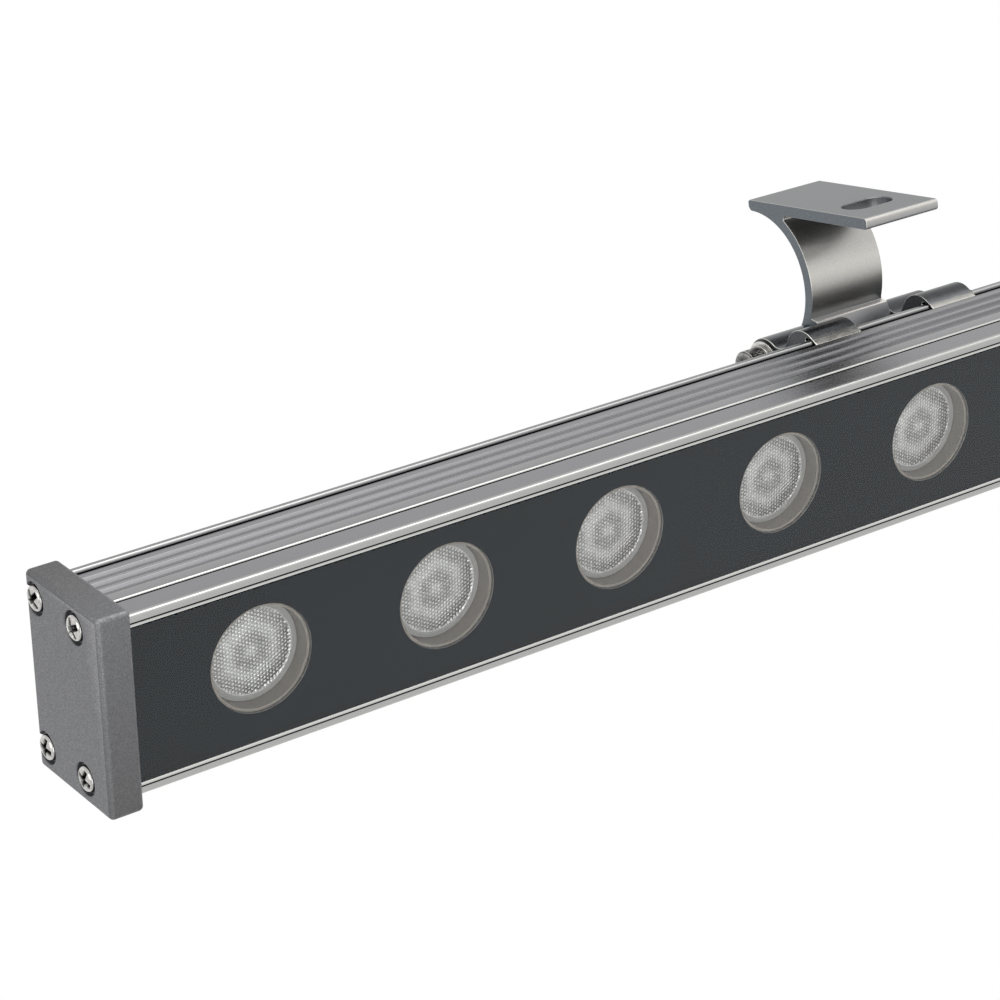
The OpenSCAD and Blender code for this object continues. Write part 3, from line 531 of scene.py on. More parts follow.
def housingSide():
    # the upper half of the section, from the middle of the channel's floor round to the middle of its back
    p, top, front = profile, halfHeight, lamp["front"]
    frontBoss, rearBoss = [(d, lamp["portHeight"]) for d in lamp["portDepths"]]
    corners = [(p["rearWall"], 0.0)]
    corners += [*arcOf(rearBoss, p["bossRadius"], 243.7, 164.4, 8)]
    corners += [*arcOf(frontBoss, p["bossRadius"], 15.6, -148.7, 14)]
    corners += [(p["shelf"], p["window"], 0.15), (p["shelf"], p["mouth"], 0.1), (front, p["mouth"], 0.22)]
    low, high = p["line"]
    deep = front + p["lineDepth"]
    corners += [(front, low, 0.06), (deep, low, 0.04), (deep, high, 0.04), (front, high, 0.06), (front, top, 0.5),
                (front + 1.2, top)]
    floor, land, shadow = top - p["shadowDepth"], p["land"], p["shadow"]
    corners += [(land - 0.4, top), (land, top, 0.15), (land, floor, 0.1), (shadow, floor, 0.1), (shadow, top, 0.42),
                (shadow + 0.95, top)]
    half = math.degrees(math.acos((p["fluteRadius"] - p["fluteDepth"]) / p["fluteRadius"]))
    for depth in p["flutes"]:
        middle = (depth, top - p["fluteDepth"] + p["fluteRadius"])
        hollow = arcOf(middle, p["fluteRadius"], 270 - half, 270 + half, 12)
        corners += [(*hollow[0], 0.1), *hollow[1:-1], (*hollow[-1], 0.1)]
    start, stop = p["groove"]
    floor, chamfer = top - p["grooveDepth"], p["beadChamfer"]
    corners += [(start - 0.4, top), (start, top, 0.15), (start, floor, 0.15), (stop, floor, 0.15),
                (stop, top - chamfer, 0.1), (stop + 0.2, top - chamfer + 0.2), (stop + chamfer, top, 0.25)]
    return corners + [(stop + chamfer + 0.3, top), (rearDepth, top, 0.5), (rearDepth, 0.0)]


def housingTone(points):
    # painted shade in the two grooves and softer painted shade in the flutes, painted highlights along the rounded
    # edges beside them
    depth, height = points[:, 1], np.abs(points[:, 2])
    front, (innerHeight, innerDepth) = lamp["front"] + 0.3, profile["inner"]
    flutes = [(flute + d, tone) for flute in profile["flutes"] for d, tone in profile["fluteTones"]]
    tone = toneAt(depth, profile["frontTones"] + flutes + profile["rearTones"])
    tone = np.where((depth < front) & (height < profile["faceTo"]), toneAt(height, profile["faceTones"]), tone)
    return np.where((height < innerHeight) & (depth > front) & (depth < innerDepth), profile["innerTone"], tone)


upper = housingSide()
lower = [(c[0], -c[1], *c[2:]) for c in upper[1:-1]][::-1]
housingEnd = innerX + 1.0
addPiece("housingProfile", barAlong(softened(upper + lower, 4), -housingEnd, housingEnd, 0.05, 1), lampPlace,
         "housing", "lamp", "housing", ["housing"], sharp=40, tone=housingTone)
print("linear floodlight: housing made")


# printed mask: bedded a little into the glass, so that the pane mirrors only once over the ink

mask = dict(front=5.04, back=5.3, halfHeight=15.2, window=10.6)


def maskShape():
    # a thin flat bar with a round window before each LED
    front, back, half = mask["front"], mask["back"], mask["halfHeight"]
    loop = np.array([(front, -half), (back, -half), (back, half), (front, half)])
    vertices, faces = turned([(mask["window"], front - 1), (mask["window"], back + 1)], 72)
    windows = [(vertices[:, [1, 0, 2]] + [x, 0, 0], faces) for x in ledPlaces]
    return carved(barAlong(loop, -housingEnd, housingEnd, 0.01, 1), *windows)


def maskEdges(normals, centres):
    # faces that look across the glass, not along the depth: these get a painted highlight
    lean = math.radians(lamp["tilt"])
    return np.abs(normals @ [0, math.cos(lean), math.sin(lean)]) < 0.5


addPiece("printedMask", maskShape(), lampPlace, "mask", "lamp", "glass_mask", ["glass_mask"],
         others=[("maskEdge", maskEdges)])
print("linear floodlight: mask made")


# end caps: a rounded block, seats for the screws and a pocket for the housing

# sideTone, frontTone and topTone are painted light and shade by which way a face looks; edgeTone and cornerTone are
# painted highlights
cap = dict(depth=25.7, height=39.5, inset=0.05, rounding=1.0, seat=3.2, seatDepth=1.1, seatEase=0.25, hole=1.65,
           fit=0.1, glandDepth=13.45, glandHole=6.02, sideTone=0.48, frontTone=0.31, topTone=0.26, edgeTone=0.1,
           cornerTone=0.16, toneReach=0.8, cornerReach=1.2)


def roundedBlock(size, radius, steps=6):
    # every point of a box's skin pulled to the given distance from the smaller box inside it
    half = np.asarray(size) / 2
    ease = radius * np.tan(np.radians(np.linspace(0, 45, steps + 1)))
    lines = [np.concatenate([-(h - radius) - ease[::-1], (h - radius) + ease]) for h in half]
    parts = []
    for axis in range(3):
        for side in (-1, 1):
            a, b = np.meshgrid(lines[(axis + 1) % 3], lines[(axis + 2) % 3], indexing="ij")
            points = np.empty(a.shape + (3,))
            points[..., axis], points[..., (axis + 1) % 3], points[..., (axis + 2) % 3] = side * half[axis], a, b
            core = np.clip(points, -(half - radius), half - radius)
            away = points - core
            away *= radius / np.linalg.norm(away, axis=-1, keepdims=True)
            parts.append(skin(core + away, wrapV=False))
    return joined(parts)


def capShape(gland):
    # drawn for the +X end, X outwards from the cap's inner face
    thick, fit = lamp["capThickness"], cap["fit"]
    block = moved(roundedBlock((thick, cap["depth"], cap["height"]), cap["rounding"]), thick / 2,
                  cap["inset"] + cap["depth"] / 2)
    near, far, half = lamp["front"] - fit, rearDepth + fit, halfHeight + fit
    pocketLoop = softened([(near, -half, 0.3), (far, -half, 0.3), (far, half, 0.3), (near, half, 0.3)])
    cutters = [barAlong(pocketLoop, -1.0, lamp["pocket"], 0.05, 1)]
    ease = cap["seatEase"]
    eased = arcOf((cap["seat"] + ease, thick - ease), ease, 180, 90, 4)
    seatProfile = [(cap["hole"], lamp["pocket"] - 0.5), (cap["hole"], thick - cap["seatDepth"]),
                   (cap["seat"], thick - cap["seatDepth"]), *eased, (cap["seat"] + ease, thick + 1)]
    cutters += [moved(turned(seatProfile, 48), 0, depth, height) for depth, height in ports]
    if gland:
        cutters.append(moved(turned([(cap["glandHole"], 1.0), (cap["glandHole"], thick + 1)]), 0, cap["glandDepth"]))
    return carved(block, *cutters)


def capTone(points):
    # painted highlights on the rounded edges and the top front corner; painted light and shade by which way each face
    # looks, the top, bottom and front darker than the outer side
    half = np.array([lamp["capThickness"], cap["depth"], cap["height"]]) / 2
    placed = points - [half[0], cap["inset"] + half[1], 0]
    away = placed - np.clip(placed, -(half - cap["rounding"]), half - cap["rounding"])
    reach = np.linalg.norm(away, axis=1)
    steep = np.abs(away).max(1) / np.where(reach > 0, reach, 1)
    edge = np.where(np.abs(reach - cap["rounding"]) < 0.02, np.clip((0.985 - steep) * 0.8, 0, cap["edgeTone"]), 0)
    face = np.where(np.abs(placed[:, 2]) > half[2] - cap["toneReach"], cap["topTone"], cap["sideTone"])
    face = np.where(points[:, 1] < cap["toneReach"], cap["frontTone"], face)
    corner = (points[:, 1] < cap["cornerReach"]) & (placed[:, 2] > half[2] - cap["cornerReach"])
    return face + edge + np.where(corner, cap["cornerTone"], 0)


def atCap(side):
    # mirrors the +X end for the other one and sets it on the housing's end
    return lambda points: lampPlace(np.asarray(points) * [side, 1, 1] + [side * innerX, 0, 0])


sides = ((-1, "left"), (1, "right"))
for side, word in sides:
    addPiece(word + "CapCast", capShape(side > 0), atCap(side), "caps", "lamp", "end_caps", [word + "_end_cap"],
             sharp=50, tone=capTone)
print("linear floodlight: end caps made")


# pan head screws with a cross recess

screw = dict(radius=2.5, height=1.65, rounding=0.85, crown=6.5, shank=1.35, length=12.0, armWidth=1.2, armLength=4.1,
             endSlope=1.5, sideSlope=3.5, recess=1.25,
             # tones by the depth below the dome, and by the height above the seat at the rim: painted shade down in
             # the cross and round the foot of the head
             crossTones=[(0, 0.66), (0.1, 0.5), (0.35, 0.15), (0.8, 0.02)],
             rimTones=[(0.0, 0.1), (0.5, 0.25), (1.0, 0.6), (1.5, 0.8)])


def domeAt(radius):
    # height of the head: a parabola that ends in a quarter circle
    s = screw
    flat = s["radius"] - s["rounding"]
    over = np.clip((radius - flat) / s["rounding"], 0, 1)
    fall = s["rounding"] * (1 - np.sqrt(1 - over ** 2))
    return s["height"] - np.minimum(radius, flat) ** 2 / (2 * s["crown"]) - fall


def panHead(length, turn, count=48):
    # the dome less a cross whose arms slope to the middle
    s, radius, shank = screw, screw["radius"], screw["shank"]

    def heightAt(a, b):
        # each arm of the cross sinks from its sides and from its ends, down to the recess
        c, d = a * math.cos(turn) + b * math.sin(turn), b * math.cos(turn) - a * math.sin(turn)
        arms = [np.minimum((s["armLength"] / 2 - np.abs(p)) * s["endSlope"],
                           (s["armWidth"] / 2 - np.abs(q)) * s["sideSlope"]) for p, q in ((c, d), (d, c))]
        return domeAt(np.hypot(a, b)) - np.clip(np.maximum(*arms), 0, s["recess"])

    skirt = [(radius, domeAt(radius) * 0.5), (radius, 0.12), (radius - 0.12, 0.0), (shank, 0.0),
             (shank, -length + 0.6), (shank * 0.5, -length)]
    return dished(count, radius, heightAt, skirt, 2, 1.5)


def screwTone(points):
    # painted shade down in the cross and round the foot of the head
    base = lamp["capThickness"] - cap["seatDepth"]
    radius = np.min([np.hypot(points[:, 1] - d, points[:, 2] - h) for d, h in ports], axis=0)
    sunk = np.clip(base + domeAt(radius) - points[:, 0], 0, 1)
    return np.where(radius < screw["radius"] - screw["rounding"] + 0.3, toneAt(sunk, screw["crossTones"]),
                    toneAt(points[:, 0] - base, screw["rimTones"]))


turns = dict(left=(0.35, 1.1, 0.2, 0.75), right=(0.9, 0.1, 1.3, 0.5))
for side, word in sides:
    heads = [moved(panHead(screw["length"], turn), lamp["capThickness"] - cap["seatDepth"], depth, height)
             for (depth, height), turn in zip(ports, turns[word])]
    addPiece(word + "CapScrews", joined(heads), atCap(side), "steel", "lamp", "stainless_fasteners",
             [word + "_cap_screws"], sharp=38, tone=screwTone)
print("linear floodlight: cap screws made")


# optics: a total-reflection body with a beaded front

# footTone, crownTone, ownTone and zoneTone are the beads' painted shade and painted sparkling highlights
optic = dict(rim=9.75, beaded=8.5, front=10.9, rimDepth=1.2, footRadius=3.8, foot=1.0, flankRadius=9.3, well=2.6,
             wellSide=3.3, wellTop=4.6, beadPitch=0.78, zone=5.4, beadHeight=0.1, sink=0.2, footTone=0.22,
             crownTone=0.45, ownTone=0.5, zoneTone=0.13, smoothTone=0.8)


def beadWaves(a, b):
    # three cosine waves a third of a turn apart, which add up to a honeycomb of crowns
    wave = 4 * math.pi / (math.sqrt(3) * optic["beadPitch"])
    return [wave * (a * math.cos(t) + b * math.sin(t)) for t in np.radians([0, 60, 120])]


def beadFront(a, b):
    # the crowns stand up as beads, fading out at the rim
    field = sum(np.cos(w) for w in beadWaves(a, b)) / 3
    edge = np.clip((optic["beaded"] - np.hypot(a, b)) / 0.25, 0, 1)
    edge = edge * edge * (3 - 2 * edge)
    return optic["front"] - optic["sink"] * edge + optic["beadHeight"] * edge * (field + 0.5)


def fromOptic(places):
    # places across the nearest optic, measured from its axis
    return places[:, 0] % lamp["ledPitch"] - lamp["ledPitch"] / 2, places[:, 2]


def beadTone(points):
    # each bead has a painted highlight on its crown and painted shade round its foot, the highlight by an amount of
    # its own, with faint six-sided rings of painted sparkle
    o = optic
    a, b = fromOptic(points)
    waves = beadWaves(a, b)
    crown = (sum(np.cos(w) for w in waves) / 3 + 0.5) / 1.5
    first, second = [np.round(w / (2 * math.pi)) for w in waves[:2]]
    own = np.abs(np.sin(first * 12.99 + second * 78.23) * 4375.85) % 1
    beaded = (points[:, 1] < lamp["boardDepth"] - o["front"] + 1) & (np.hypot(a, b) < o["beaded"])
    zone = np.cos(np.max(np.abs(waves), axis=0) * o["beadPitch"] / o["zone"])
    bead = o["footTone"] + crown * (o["crownTone"] + o["ownTone"] * own) + o["zoneTone"] * zone
    return np.where(beaded, bead, o["smoothTone"])


def opticShape():
    # the beaded disc, its rim, a flank that widens with the root of its height, and a well with a domed top
    o = optic
    flank = [(o["footRadius"] + (o["flankRadius"] - o["footRadius"]) * math.sqrt(s),
              o["foot"] + (o["front"] - o["rimDepth"] - o["foot"]) * s) for s in np.linspace(1, 0, 9)]
    dome = [(o["well"] * math.cos(t), o["foot"] + o["wellSide"] + (o["wellTop"] - o["wellSide"]) * math.sin(t))
            for t in np.radians([0, 20, 40, 60, 80])]
    skirt = [(o["rim"] - 0.15, o["front"]), (o["rim"] - 0.04, o["front"] - 0.04), (o["rim"], o["front"] - 0.15),
             (o["rim"], o["front"] - o["rimDepth"]), *flank, (o["well"], o["foot"]), *dome]
    return dished(96, o["beaded"] + 0.1, beadFront, skirt, 4)


def onRim(normals, centres):
    # the smooth ring round the beads, and the short cylinder beside it
    places = lampFind(centres)
    rise = lamp["boardDepth"] - places[:, 1]
    return (np.hypot(*fromOptic(places)) > optic["beaded"] + 0.05) & (rise > optic["front"] - optic["rimDepth"])


def onFlank(normals, centres):
    # the sides behind the rim, where the light is turned forwards
    places = lampFind(centres)
    rise = lamp["boardDepth"] - places[:, 1]
    behind = rise < optic["front"] - optic["rimDepth"] + 0.01
    return (np.hypot(*fromOptic(places)) > optic["well"] + 0.6) & behind


vertices, faces = opticShape()
atBoard = np.stack([vertices[:, 1], lamp["boardDepth"] - vertices[:, 0], vertices[:, 2]], 1)
perSet = 6
for number, first in enumerate(range(0, lamp["ledCount"], perSet), 1):
    group = joined([moved((atBoard, faces), x) for x in ledPlaces[first:first + perSet]])
    addPiece("optics" + str(number), group, lampPlace, "lens", "lamp", "lenses", ["lenses"], sharp=50, tone=beadTone,
             others=[("lensRim", onRim), ("lensFlank", onFlank)])
print("linear floodlight: optics made")


# bracket arms: extruded plate, curved leg and hinge barrel, drawn about the hinge

# topTone is painted shade on the plate's top; sawnTone is a painted highlight on the eased sawn edges
arm = dict(width=19.9, barrel=5.0, bore=2.05, plateTop=30.3, plateUnder=27.9, plateFront=-21.0, plateBack=16.5,
           legMiddle=(15.9, 12.35), legInner=15.55, legOuter=17.9, slotLength=12.0, slotWidth=6.5, slotAhead=10.2,
           slotEase=0.2, topTone=0.2, sawnTone=0.7,
           # tones by the height above the hinge, on the leg and on the plate's front edge: painted light and shade,
           # with painted highlights along the ledge and the front edge's top
           legTones=[(5.6, 0.35), (6.0, 0.95), (6.3, 0.98), (6.36, 0.5), (6.8, 0.45), (8.3, 0.62), (12.0, 0.78),
                     (16.0, 0.86), (24.0, 0.66)], frontTones=[(28.0, 0.5), (29.4, 0.66), (29.9, 0.95), (30.3, 0.6)])


def armLoop():
    # round the section: plate, inner arc of the leg, barrel, ledge, outer arc of the leg, fillet under the plate
    a = arm
    corners = [(a["plateFront"], a["plateTop"], 0.8), (a["plateBack"], a["plateTop"], 0.6),
               (a["plateBack"], 28.75, 0.5), (15.9, 27.95, 0.3)]
    corners += [*arcOf(a["legMiddle"], a["legInner"], 92.0, 210.5, 36), *arcOf((0, 0), a["barrel"], 56.0, -176.0, 40)]
    corners += [(-2.75, 6.0, 0.45), (-1.15, 6.33, 0.1), *arcOf(a["legMiddle"], a["legOuter"], 198.0, 127.0, 30)]
    corners += [*arcOf((4.70, 27.2), 0.7, -53.0, 85.0, 6)[1:]]
    return softened(corners + [(a["plateFront"], a["plateUnder"], 0.8)])


def armTone(points):
    # painted shade on the plate's top and a painted highlight on its front edge; a leg that brightens upwards from
    # its foot and darkens under the plate, painted light and shade, with a painted highlight along the ledge; painted
    # highlights on the eased sawn edges
    depth, height = points[:, 1], points[:, 2]
    plate = height > arm["plateUnder"] - 0.2
    tone = np.where(plate, arm["topTone"], toneAt(height, arm["legTones"]))
    tone = np.where((depth < arm["plateFront"] + 0.75) & plate, toneAt(height, arm["frontTones"]), tone)
    return highlightedEnds(points, tone, arm["width"], 0.17, arm["sawnTone"])


def slotCutter():
    # a round-ended slot through the plate, flaring a little at both faces
    a = arm
    ease, reach = a["slotEase"], (a["slotLength"] - a["slotWidth"]) / 2
    bow = arcOf((reach, 0), a["slotWidth"] / 2, -90, 90, 16)
    loop = np.concatenate([bow, -bow])
    rows = [(a["plateUnder"] - 1, -ease), (a["plateUnder"], -ease), (a["plateUnder"] + ease, 0.0),
            (a["plateTop"] - ease, 0.0), (a["plateTop"], -ease), (a["plateTop"] + 1, -ease)]
    grid = np.stack([np.column_stack([shrunk(loop, inset) - [0, a["slotAhead"]], np.full(len(loop), h)])
                     for h, inset in rows])
    return skin(grid, capStart=True, capEnd=True)


def throughX(radius, reach, depth=0.0, height=0.0):
    # a round bore along the bar
    return moved(turned([(radius, -reach), (radius, reach)], 48), 0, depth, height)


armShape = carved(barAlong(armLoop(), -arm["width"] / 2, arm["width"] / 2, 0.18), slotCutter(),
                  throughX(arm["bore"], arm["width"]))
for side, word in sides:
    shift = side * lamp["bracketSpacing"] / 2
    addPiece(word + "ArmExtruded", moved(armShape, shift), armPlace, "arms", word + "_arm", "bracket_arms",
             [word + "_bracket_arm"], sharp=32, tone=lambda points: armTone(points - [shift, 0, 0]),
             others=[("sawn", cutEnd)])
print("linear floodlight: bracket arms made")


# clips: hook, round crown, waist and half of the hinge, drawn in the housing's section

# sideTone is painted shade on the clip below the hook, sawnTone a painted highlight on its eased sawn edges, and
# nutLift is painted shade that makes the nut clip darker than the head clip
clip = dict(width=12.3, middle=16.25, crown=(26.3, 13.9), radius=5.0, waist=(34.17, 15.814), waistRadius=3.1,
            bore=2.05, screwDrop=1.0, screwHole=2.02, sideTone=0.22, sawnTone=0.85, nutLift=-0.12,
            # tones by the depth over the hook and the crown: a painted highlight along the hook's tip, fading to
            # painted shade over the crown
            hookTones=[(21.75, 0.98), (22.4, 0.85), (23.4, 0.62), (24.4, 0.34), (26.0, 0.2), (31.0, 0.3)])


def clipLoop():
    # from the hook's tip along its underside, the relief, the face on the housing, the foot, barrel, waist and crown
    c = clip
    corners = [(21.75, 16.8, 0.2), (22.7, 16.8, 0.15), (22.7, 17.225, 0.1), (23.275, 17.8, 0.1)]
    corners += [*arcOf((25.0, 17.4), 0.45, 118.0, -123.0, 12)]
    corners += [(24.75, -4.0, 0.3), (28.45, -4.0, 0.6), (29.45, -3.0, 0.6), (29.45, 1.0, 0.8)]
    corners += [*arcOf((lamp["hingeDepth"], lamp["hingeHeight"]), c["radius"], -135.0, 115.4, 44)]
    corners += [*arcOf(c["waist"], c["waistRadius"], -64.6, -166.3, 16)[1:-1]]
    corners += [*arcOf(c["crown"], c["radius"], 13.67, 109.9, 20)]
    return softened(corners + [(23.175, 17.95, 0.5), (21.75, 17.275, 0.35)])


def clipTone(points, lift):
    # a painted highlight along the hook, brightest towards its tip, and painted highlights on the eased edges at the
    # two sawn ends; lift shifts the whole clip's painted light
    tone = np.where(points[:, 2] > 12.5, toneAt(points[:, 1], clip["hookTones"]), clip["sideTone"]) + lift
    return highlightedEnds(points, tone, clip["width"], 0.19, clip["sawnTone"])


def alongDepth(shape):
    # lays a shape turned about X along the depth, at the height of the clip's set screw
    places = np.asarray(shape[0])
    return np.stack([places[:, 1], places[:, 0], places[:, 2] - clip["screwDrop"]], 1), shape[1]


clipShape = carved(barAlong(clipLoop(), -clip["width"] / 2, clip["width"] / 2, 0.2),
                   throughX(clip["bore"], clip["width"], lamp["hingeDepth"], lamp["hingeHeight"]),
                   alongDepth(turned([(clip["screwHole"], 24.0), (clip["screwHole"], 31.0)], 32)))
stud = turned([(0, 0), (1.6, 0), (2.0, 0.4), (2.0, 3.75), (1.75, 4.0), (0, 4.0)], 32)
studShape = moved(alongDepth(carved(stud, hexagon(2.3, 2.0, 5.0))), 0, rearDepth + 0.1)
for side, word in sides:
    studs = []
    for way, kind, lift in ((-1, "head", 0.0), (1, "nut", clip["nutLift"])):
        shift = side * lamp["bracketSpacing"] / 2 + way * clip["middle"]
        addPiece(word + kind.capitalize() + "ClipHooked", moved(clipShape, shift), lampPlace, "clips",
                 word + "_clamp", "bracket_clips", [word + "_" + kind + "_clip"], sharp=32,
                 tone=lambda points: clipTone(points - [shift, 0, 0], lift), others=[("clipSawn", cutEnd)])
        studs.append(moved(studShape, shift))
    addPiece(word + "ClipStuds", joined(studs), lampPlace, "steel", word + "_clamp", "stainless_fasteners",
             [word + "_clip_screws"])
print("linear floodlight: clips made")


# hinge bolt, washers and nut, along +X from the outer face of the head clip

# rimTone and washerRimTone are painted highlights; knurlTone, socketTone, mouthTone and washerTone are painted shade
bolt = dict(shank=1.95, length=50.0, head=3.5, headHeight=4.0, chamfer=0.4, socket=3.0, socketDepth=2.0, pitch=0.7,
            springRadius=3.8, spring=0.9, flatRadius=4.5, flat=0.8, bore=2.1, slit=0.6, bracket=44.8, nut=7.0,
            nutHeight=3.2, thread=14.0, threadDepth=0.32,
            knurl=0.965,  # coarser than a real one, which wouldn't show
            plainTone=0.45, rimTone=0.9, knurlTone=0.15, socketTone=0.02, mouthTone=0.1, washerTone=0.25,
            washerRimTone=0.72)
seat = -(bolt["flat"] + bolt["spring"])


def boltShape():
    # head with eased rims and a hexagon socket, plain shank, and a thread wound on its last part
    b = bolt
    end, outer = seat + b["length"], seat - b["headHeight"]
    threadFrom = end - b["thread"]
    headProfile = [(0, outer), (b["head"] - b["chamfer"], outer), (b["head"] - 0.12, outer + 0.28),
                   (b["head"], outer + b["chamfer"]), (b["head"], outer + 0.5), (b["head"], seat - 0.3),
                   (b["head"], seat - 0.15), (b["head"] - 0.15, seat),
                   (b["shank"], seat), (b["shank"], threadFrom), (1.7, threadFrom + 0.1), (0, threadFrom + 0.1)]
    socket = hexagon(b["socket"] / math.cos(math.pi / 6), outer - 1, outer + b["socketDepth"])
    angles = anglesRound(24)
    x = np.arange(threadFrom, end - 0.3, b["pitch"] / 6)[:, None]
    tooth = np.abs(2 * ((x / b["pitch"] - angles / (2 * math.pi)) % 1) - 1)
    fade, taper = np.clip((x - threadFrom) / 0.7, 0, 1), np.clip(1 - (end - x) / 0.7, 0, 1)
    radius = b["shank"] - b["threadDepth"] * tooth * fade - 0.35 * taper
    vertices, faces = turned(headProfile, 96)
    ridge = (vertices[:, 0] > outer + 0.45) & (vertices[:, 0] < seat - 0.05) & (np.arange(len(vertices)) % 2 == 0)
    vertices[ridge, 1:] *= b["knurl"]
    return joined([carved((vertices, faces), socket), skin(ringOf(x, radius, angles), capStart=True, capEnd=True)])


def boltTone(points):
    # painted highlights on the rims of the head, painted shade in the knurl between them and inside the socket
    b, x, radius = bolt, points[:, 0], np.hypot(points[:, 1], points[:, 2])
    outer = seat - b["headHeight"]
    tone = np.full(len(points), b["plainTone"])
    tone[(x < outer + b["chamfer"] + 0.05) & (radius > b["head"] - 0.05)] = b["rimTone"]
    tone[(x > outer + 0.2) & (x < seat - 0.1) & (radius < b["head"] - 0.03)] = b["knurlTone"]
    tone[(x < outer + b["socketDepth"] + 0.05) & (x > outer + 0.1) & (radius < 1.9)] = b["socketTone"]
    tone[(x < outer + 0.05) & (radius < 1.9)] = b["mouthTone"]
    return tone


def springShape():
    # a square wire bent into one turn, its two ends a slit apart
    b = bolt
    section = softened([(b["bore"], seat, 0.1), (b["springRadius"], seat, 0.15),
                        (b["springRadius"], seat + b["spring"], 0.15), (b["bore"], seat + b["spring"], 0.1)], 3)
    gap = b["slit"] / 2 / b["springRadius"]
    angles = np.linspace(math.radians(30) + gap, math.radians(390) - gap, 65)[:, None]
    return skin(ringOf(section[:, 1], section[:, 0], angles), capStart=True, capEnd=True)


def washerShape(inner, outer, x0, x1, ease=0.12):
    # a flat ring with eased edges, turned about X
    return turned(softened([(inner, x0, ease), (outer, x0, ease), (outer, x1, ease), (inner, x1, ease)], 3),
                  64, closed=True)


def atHinge(middle):
    # starts at the head clip's outer face, on the hinge axis
    start = middle - bolt["bracket"] / 2
    return lambda points: lampPlace(np.asarray(points) + [start, lamp["hingeDepth"], lamp["hingeHeight"]])


def washerTone(points):
    # painted highlight on the rim, painted shade where two pieces meet
    return np.where(points[:, 0] < -bolt["flat"] + 0.1, bolt["washerRimTone"], bolt["washerTone"])


flatWasher = washerShape(bolt["bore"], bolt["flatRadius"], -bolt["flat"], 0.0)
hingeNut = moved(hexagonNut(bolt["nut"], bolt["nutHeight"], bolt["shank"] + 0.06), bolt["bracket"])
shapes = dict(HingeBolt=(boltShape(), "hinge_bolt", boltTone), SpringWasher=(springShape(), "spring_washer", None),
              FlatWasher=(flatWasher, "flat_washer", washerTone), HingeNut=(hingeNut, "hinge_nut", None))
for side, word in sides:
    for kind, (shape, node, tone) in shapes.items():
        addPiece(word + kind + "Made", shape, atHinge(side * lamp["bracketSpacing"] / 2), "steel", word + "_clamp",
                 "stainless_fasteners", [word + "_" + node], tone=tone)
print("linear floodlight: hinge hardware made")


# cable gland on the far cap, along +X from the cap's inner skin

gland = dict(start=innerX + lamp["pocket"], skin=4.8, washer=1.0, flange=4.0, tail=7.0, nut=11.0, flats=15.0,
             radius=6.0, clear=3.6, seal=4.7, sealLength=7.0, cable=3.1, lock=2.8)


def glandParts():
    # rings and hexagons stacked along one axis
    g = gland
    flangeFrom = g["skin"] + g["washer"]
    tailFrom = flangeFrom + g["flange"]
    outer, tailEnd = g["radius"], tailFrom + g["tail"]
    flange = moved(hexagonNut(g["flats"], g["flange"], outer - 0.3), flangeFrom)
    back, inside = -g["lock"], g["seal"] + 0.02
    barrel = turned([(g["clear"], back), (outer - 0.3, back), (outer, back + 0.3), (outer, flangeFrom),
                     (outer - 0.25, flangeFrom + 0.1), (outer - 0.25, tailFrom - 0.1), (outer, tailFrom),
                     (outer, tailEnd - 0.3), (outer - 0.3, tailEnd), (inside, tailEnd), (inside, tailFrom + 1.0),
                     (g["clear"], tailFrom + 1.0)], 64, closed=True)
    angles = anglesRound(96)
    start, stop = tailFrom + 0.1, tailFrom + 0.1 + g["nut"]
    rows = []
    for x in [start + e for e in (0, 0.25, 0.5, 0.75)] + list(np.linspace(start + 6.0, stop, 10)):
        crown = 5.4 + 3.4 * math.sqrt(1 - np.clip((x - start - 5.5) / (g["nut"] - 5.5), 0, 1) ** 2)
        limit = min(g["flats"] / 2 * nut["trim"] + (x - start) * nut["slope"], crown)
        rows.append((x, np.minimum(hexRadius(g["flats"], angles), limit)))
    rows += [(stop, g["clear"] + 0.3), (stop - 0.3, g["clear"]), (tailFrom + 8.1, g["clear"]),
             (tailFrom + 8.05, outer + 0.02), (start, outer + 0.02)]
    domed = skin(np.stack([ringOf(x, r, angles) for x, r in rows]), wrapU=True)
    lockNut = moved(hexagonNut(g["flats"], g["lock"], outer + 0.02), back)
    seal = washerShape(g["cable"], g["seal"], tailEnd + 1.0 - g["sealLength"], tailEnd + 1.0, 0.4)
    washer = washerShape(outer + 0.02, g["flats"] / 2, g["skin"], flangeFrom, 0.3)
    return [("glandBodyTurned", joined([barrel, flange]), "gland", "gland_metal", "gland_body"),
            ("glandNutTurned", domed, "gland", "gland_metal", "gland_nut"),
            ("glandLockNutTurned", lockNut, "gland", "gland_metal", "gland_lock_nut"),
            ("glandSealMoulded", seal, "rubber", "silicone", "gland_seal"),
            ("glandWasherMoulded", washer, "rubber", "silicone", "gland_washer")]


for name, shape, finish, slotName, node in glandParts():
    addPiece(name, moved(shape, gland["start"], cap["glandDepth"]), lampPlace, finish, "lamp", slotName, [node])
print("linear floodlight: gland made")


# stage, in metres: white floor far below, soft boxes (place, size, watts) above, low before the glass, beside the cap

studio = dict(floorDrop=0.75, floorHalf=4.0, world=0.6, aim=(-0.35, 0, 0), top=((-0.2, -0.3, 1.1), 1.1, 6.5),
              low=((-0.75, -1.2, -0.3), 0.9, 4.0), left=((-1.5, -0.5, 0.3), 0.8, 3.0))


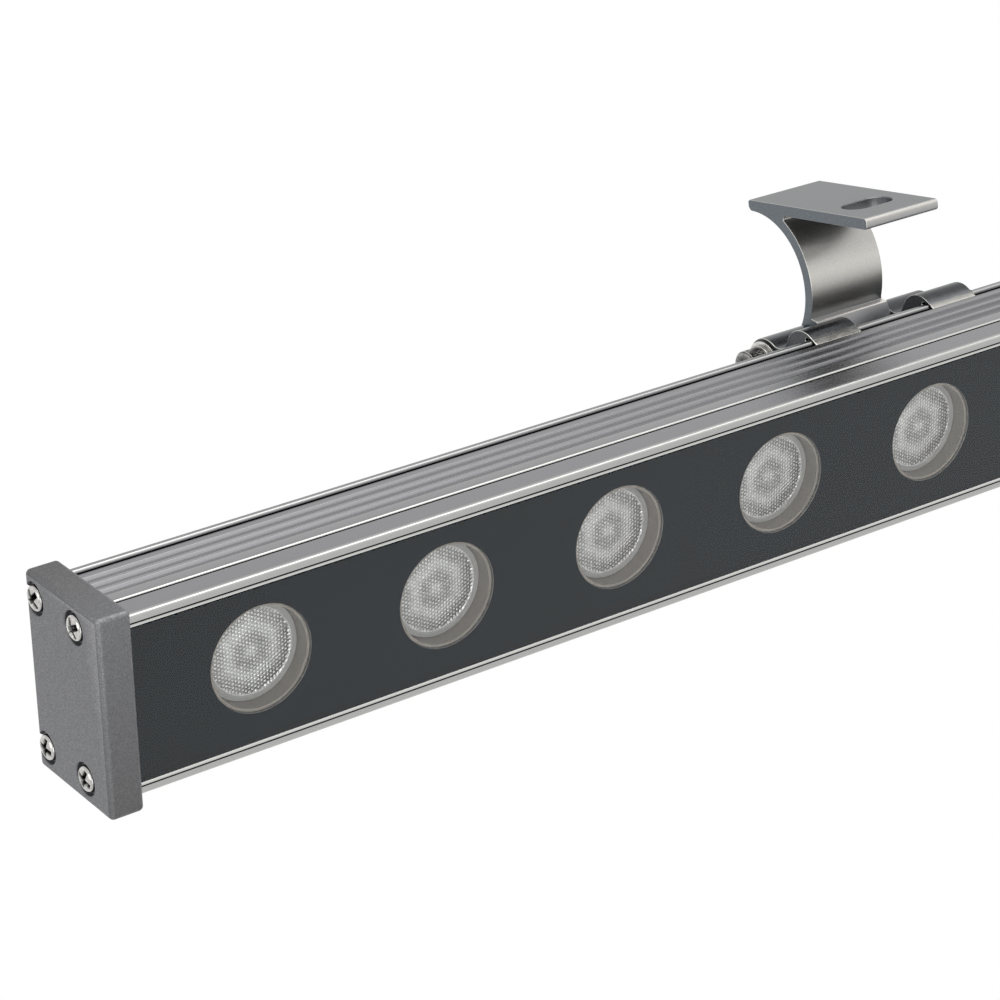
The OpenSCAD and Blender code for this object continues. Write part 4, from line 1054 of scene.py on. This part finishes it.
def whereSeen(tree):
    # 1 for rays straight from the camera, off a mirror or through glass
    path = addNode(tree, "ShaderNodeLightPath").outputs
    seen = path["Is Camera Ray"]
    for kind in ("Is Glossy Ray", "Is Transmission Ray"):
        seen = addNode(tree, "ShaderNodeMath", {0: seen, 1: path[kind]}, operation="MAXIMUM").outputs[0]
    return seen


def whiteStage(name):
    # matt white paper, plain white wherever it is seen
    material, tree, shader, place = newMaterial(name)
    grain = rampOf(tree, noiseOf(tree, place, 2.0), [(0.3, "#f2f2f2"), (0.7, "#f5f5f5")])
    fill(tree, shader, {"Base Color": grain, "Roughness": 0.9})
    glow = addNode(tree, "ShaderNodeEmission", {"Color": (1, 1, 1, 1), "Strength": 1.0}).outputs["Emission"]
    mixed = addNode(tree, "ShaderNodeMixShader", {0: whereSeen(tree), 1: shader.outputs["BSDF"], 2: glow})
    fill(tree, next(n for n in tree.nodes if n.type == "OUTPUT_MATERIAL"), {"Surface": mixed.outputs["Shader"]})
    return material


half = studio["floorHalf"]
floorMesh = bpy.data.meshes.new("floor")
floorMesh.from_pydata([(-half, -half, 0), (half, -half, 0), (half, half, 0), (-half, half, 0)], [], [(0, 1, 2, 3)])
floorMesh.transform(Matrix.Translation((0, 0, -studio["floorDrop"])))
floorMesh.materials.append(whiteStage("paperSweep"))
floor = shown("floor", floorMesh)

world = bpy.data.worlds.new("studio")
bpy.context.scene.world = world
world.use_nodes = True
tree = world.node_tree
tree.nodes.clear()
soft, plain = [addNode(tree, "ShaderNodeBackground", {"Color": (1, 1, 1, 1), "Strength": strength}).outputs[0]
               for strength in (studio["world"], 1.0)]
mixed = addNode(tree, "ShaderNodeMixShader", {0: whereSeen(tree), 1: soft, 2: plain}).outputs["Shader"]
addNode(tree, "ShaderNodeOutputWorld", {"Surface": mixed})

for name in ("top", "low", "left"):
    place, size, power = studio[name]
    data = bpy.data.lights.new(name + "SoftBox", "AREA")
    data.energy, data.size, data.shape = power, size, "SQUARE"
    light = shown(name + "SoftBox", data)
    light.location = place
    light.rotation_euler = (Vector(studio["aim"]) - Vector(place)).to_track_quat("-Z", "Y").to_euler()

bpy.context.scene.view_settings.view_transform = "Standard"
print("linear floodlight: stage and lights made")
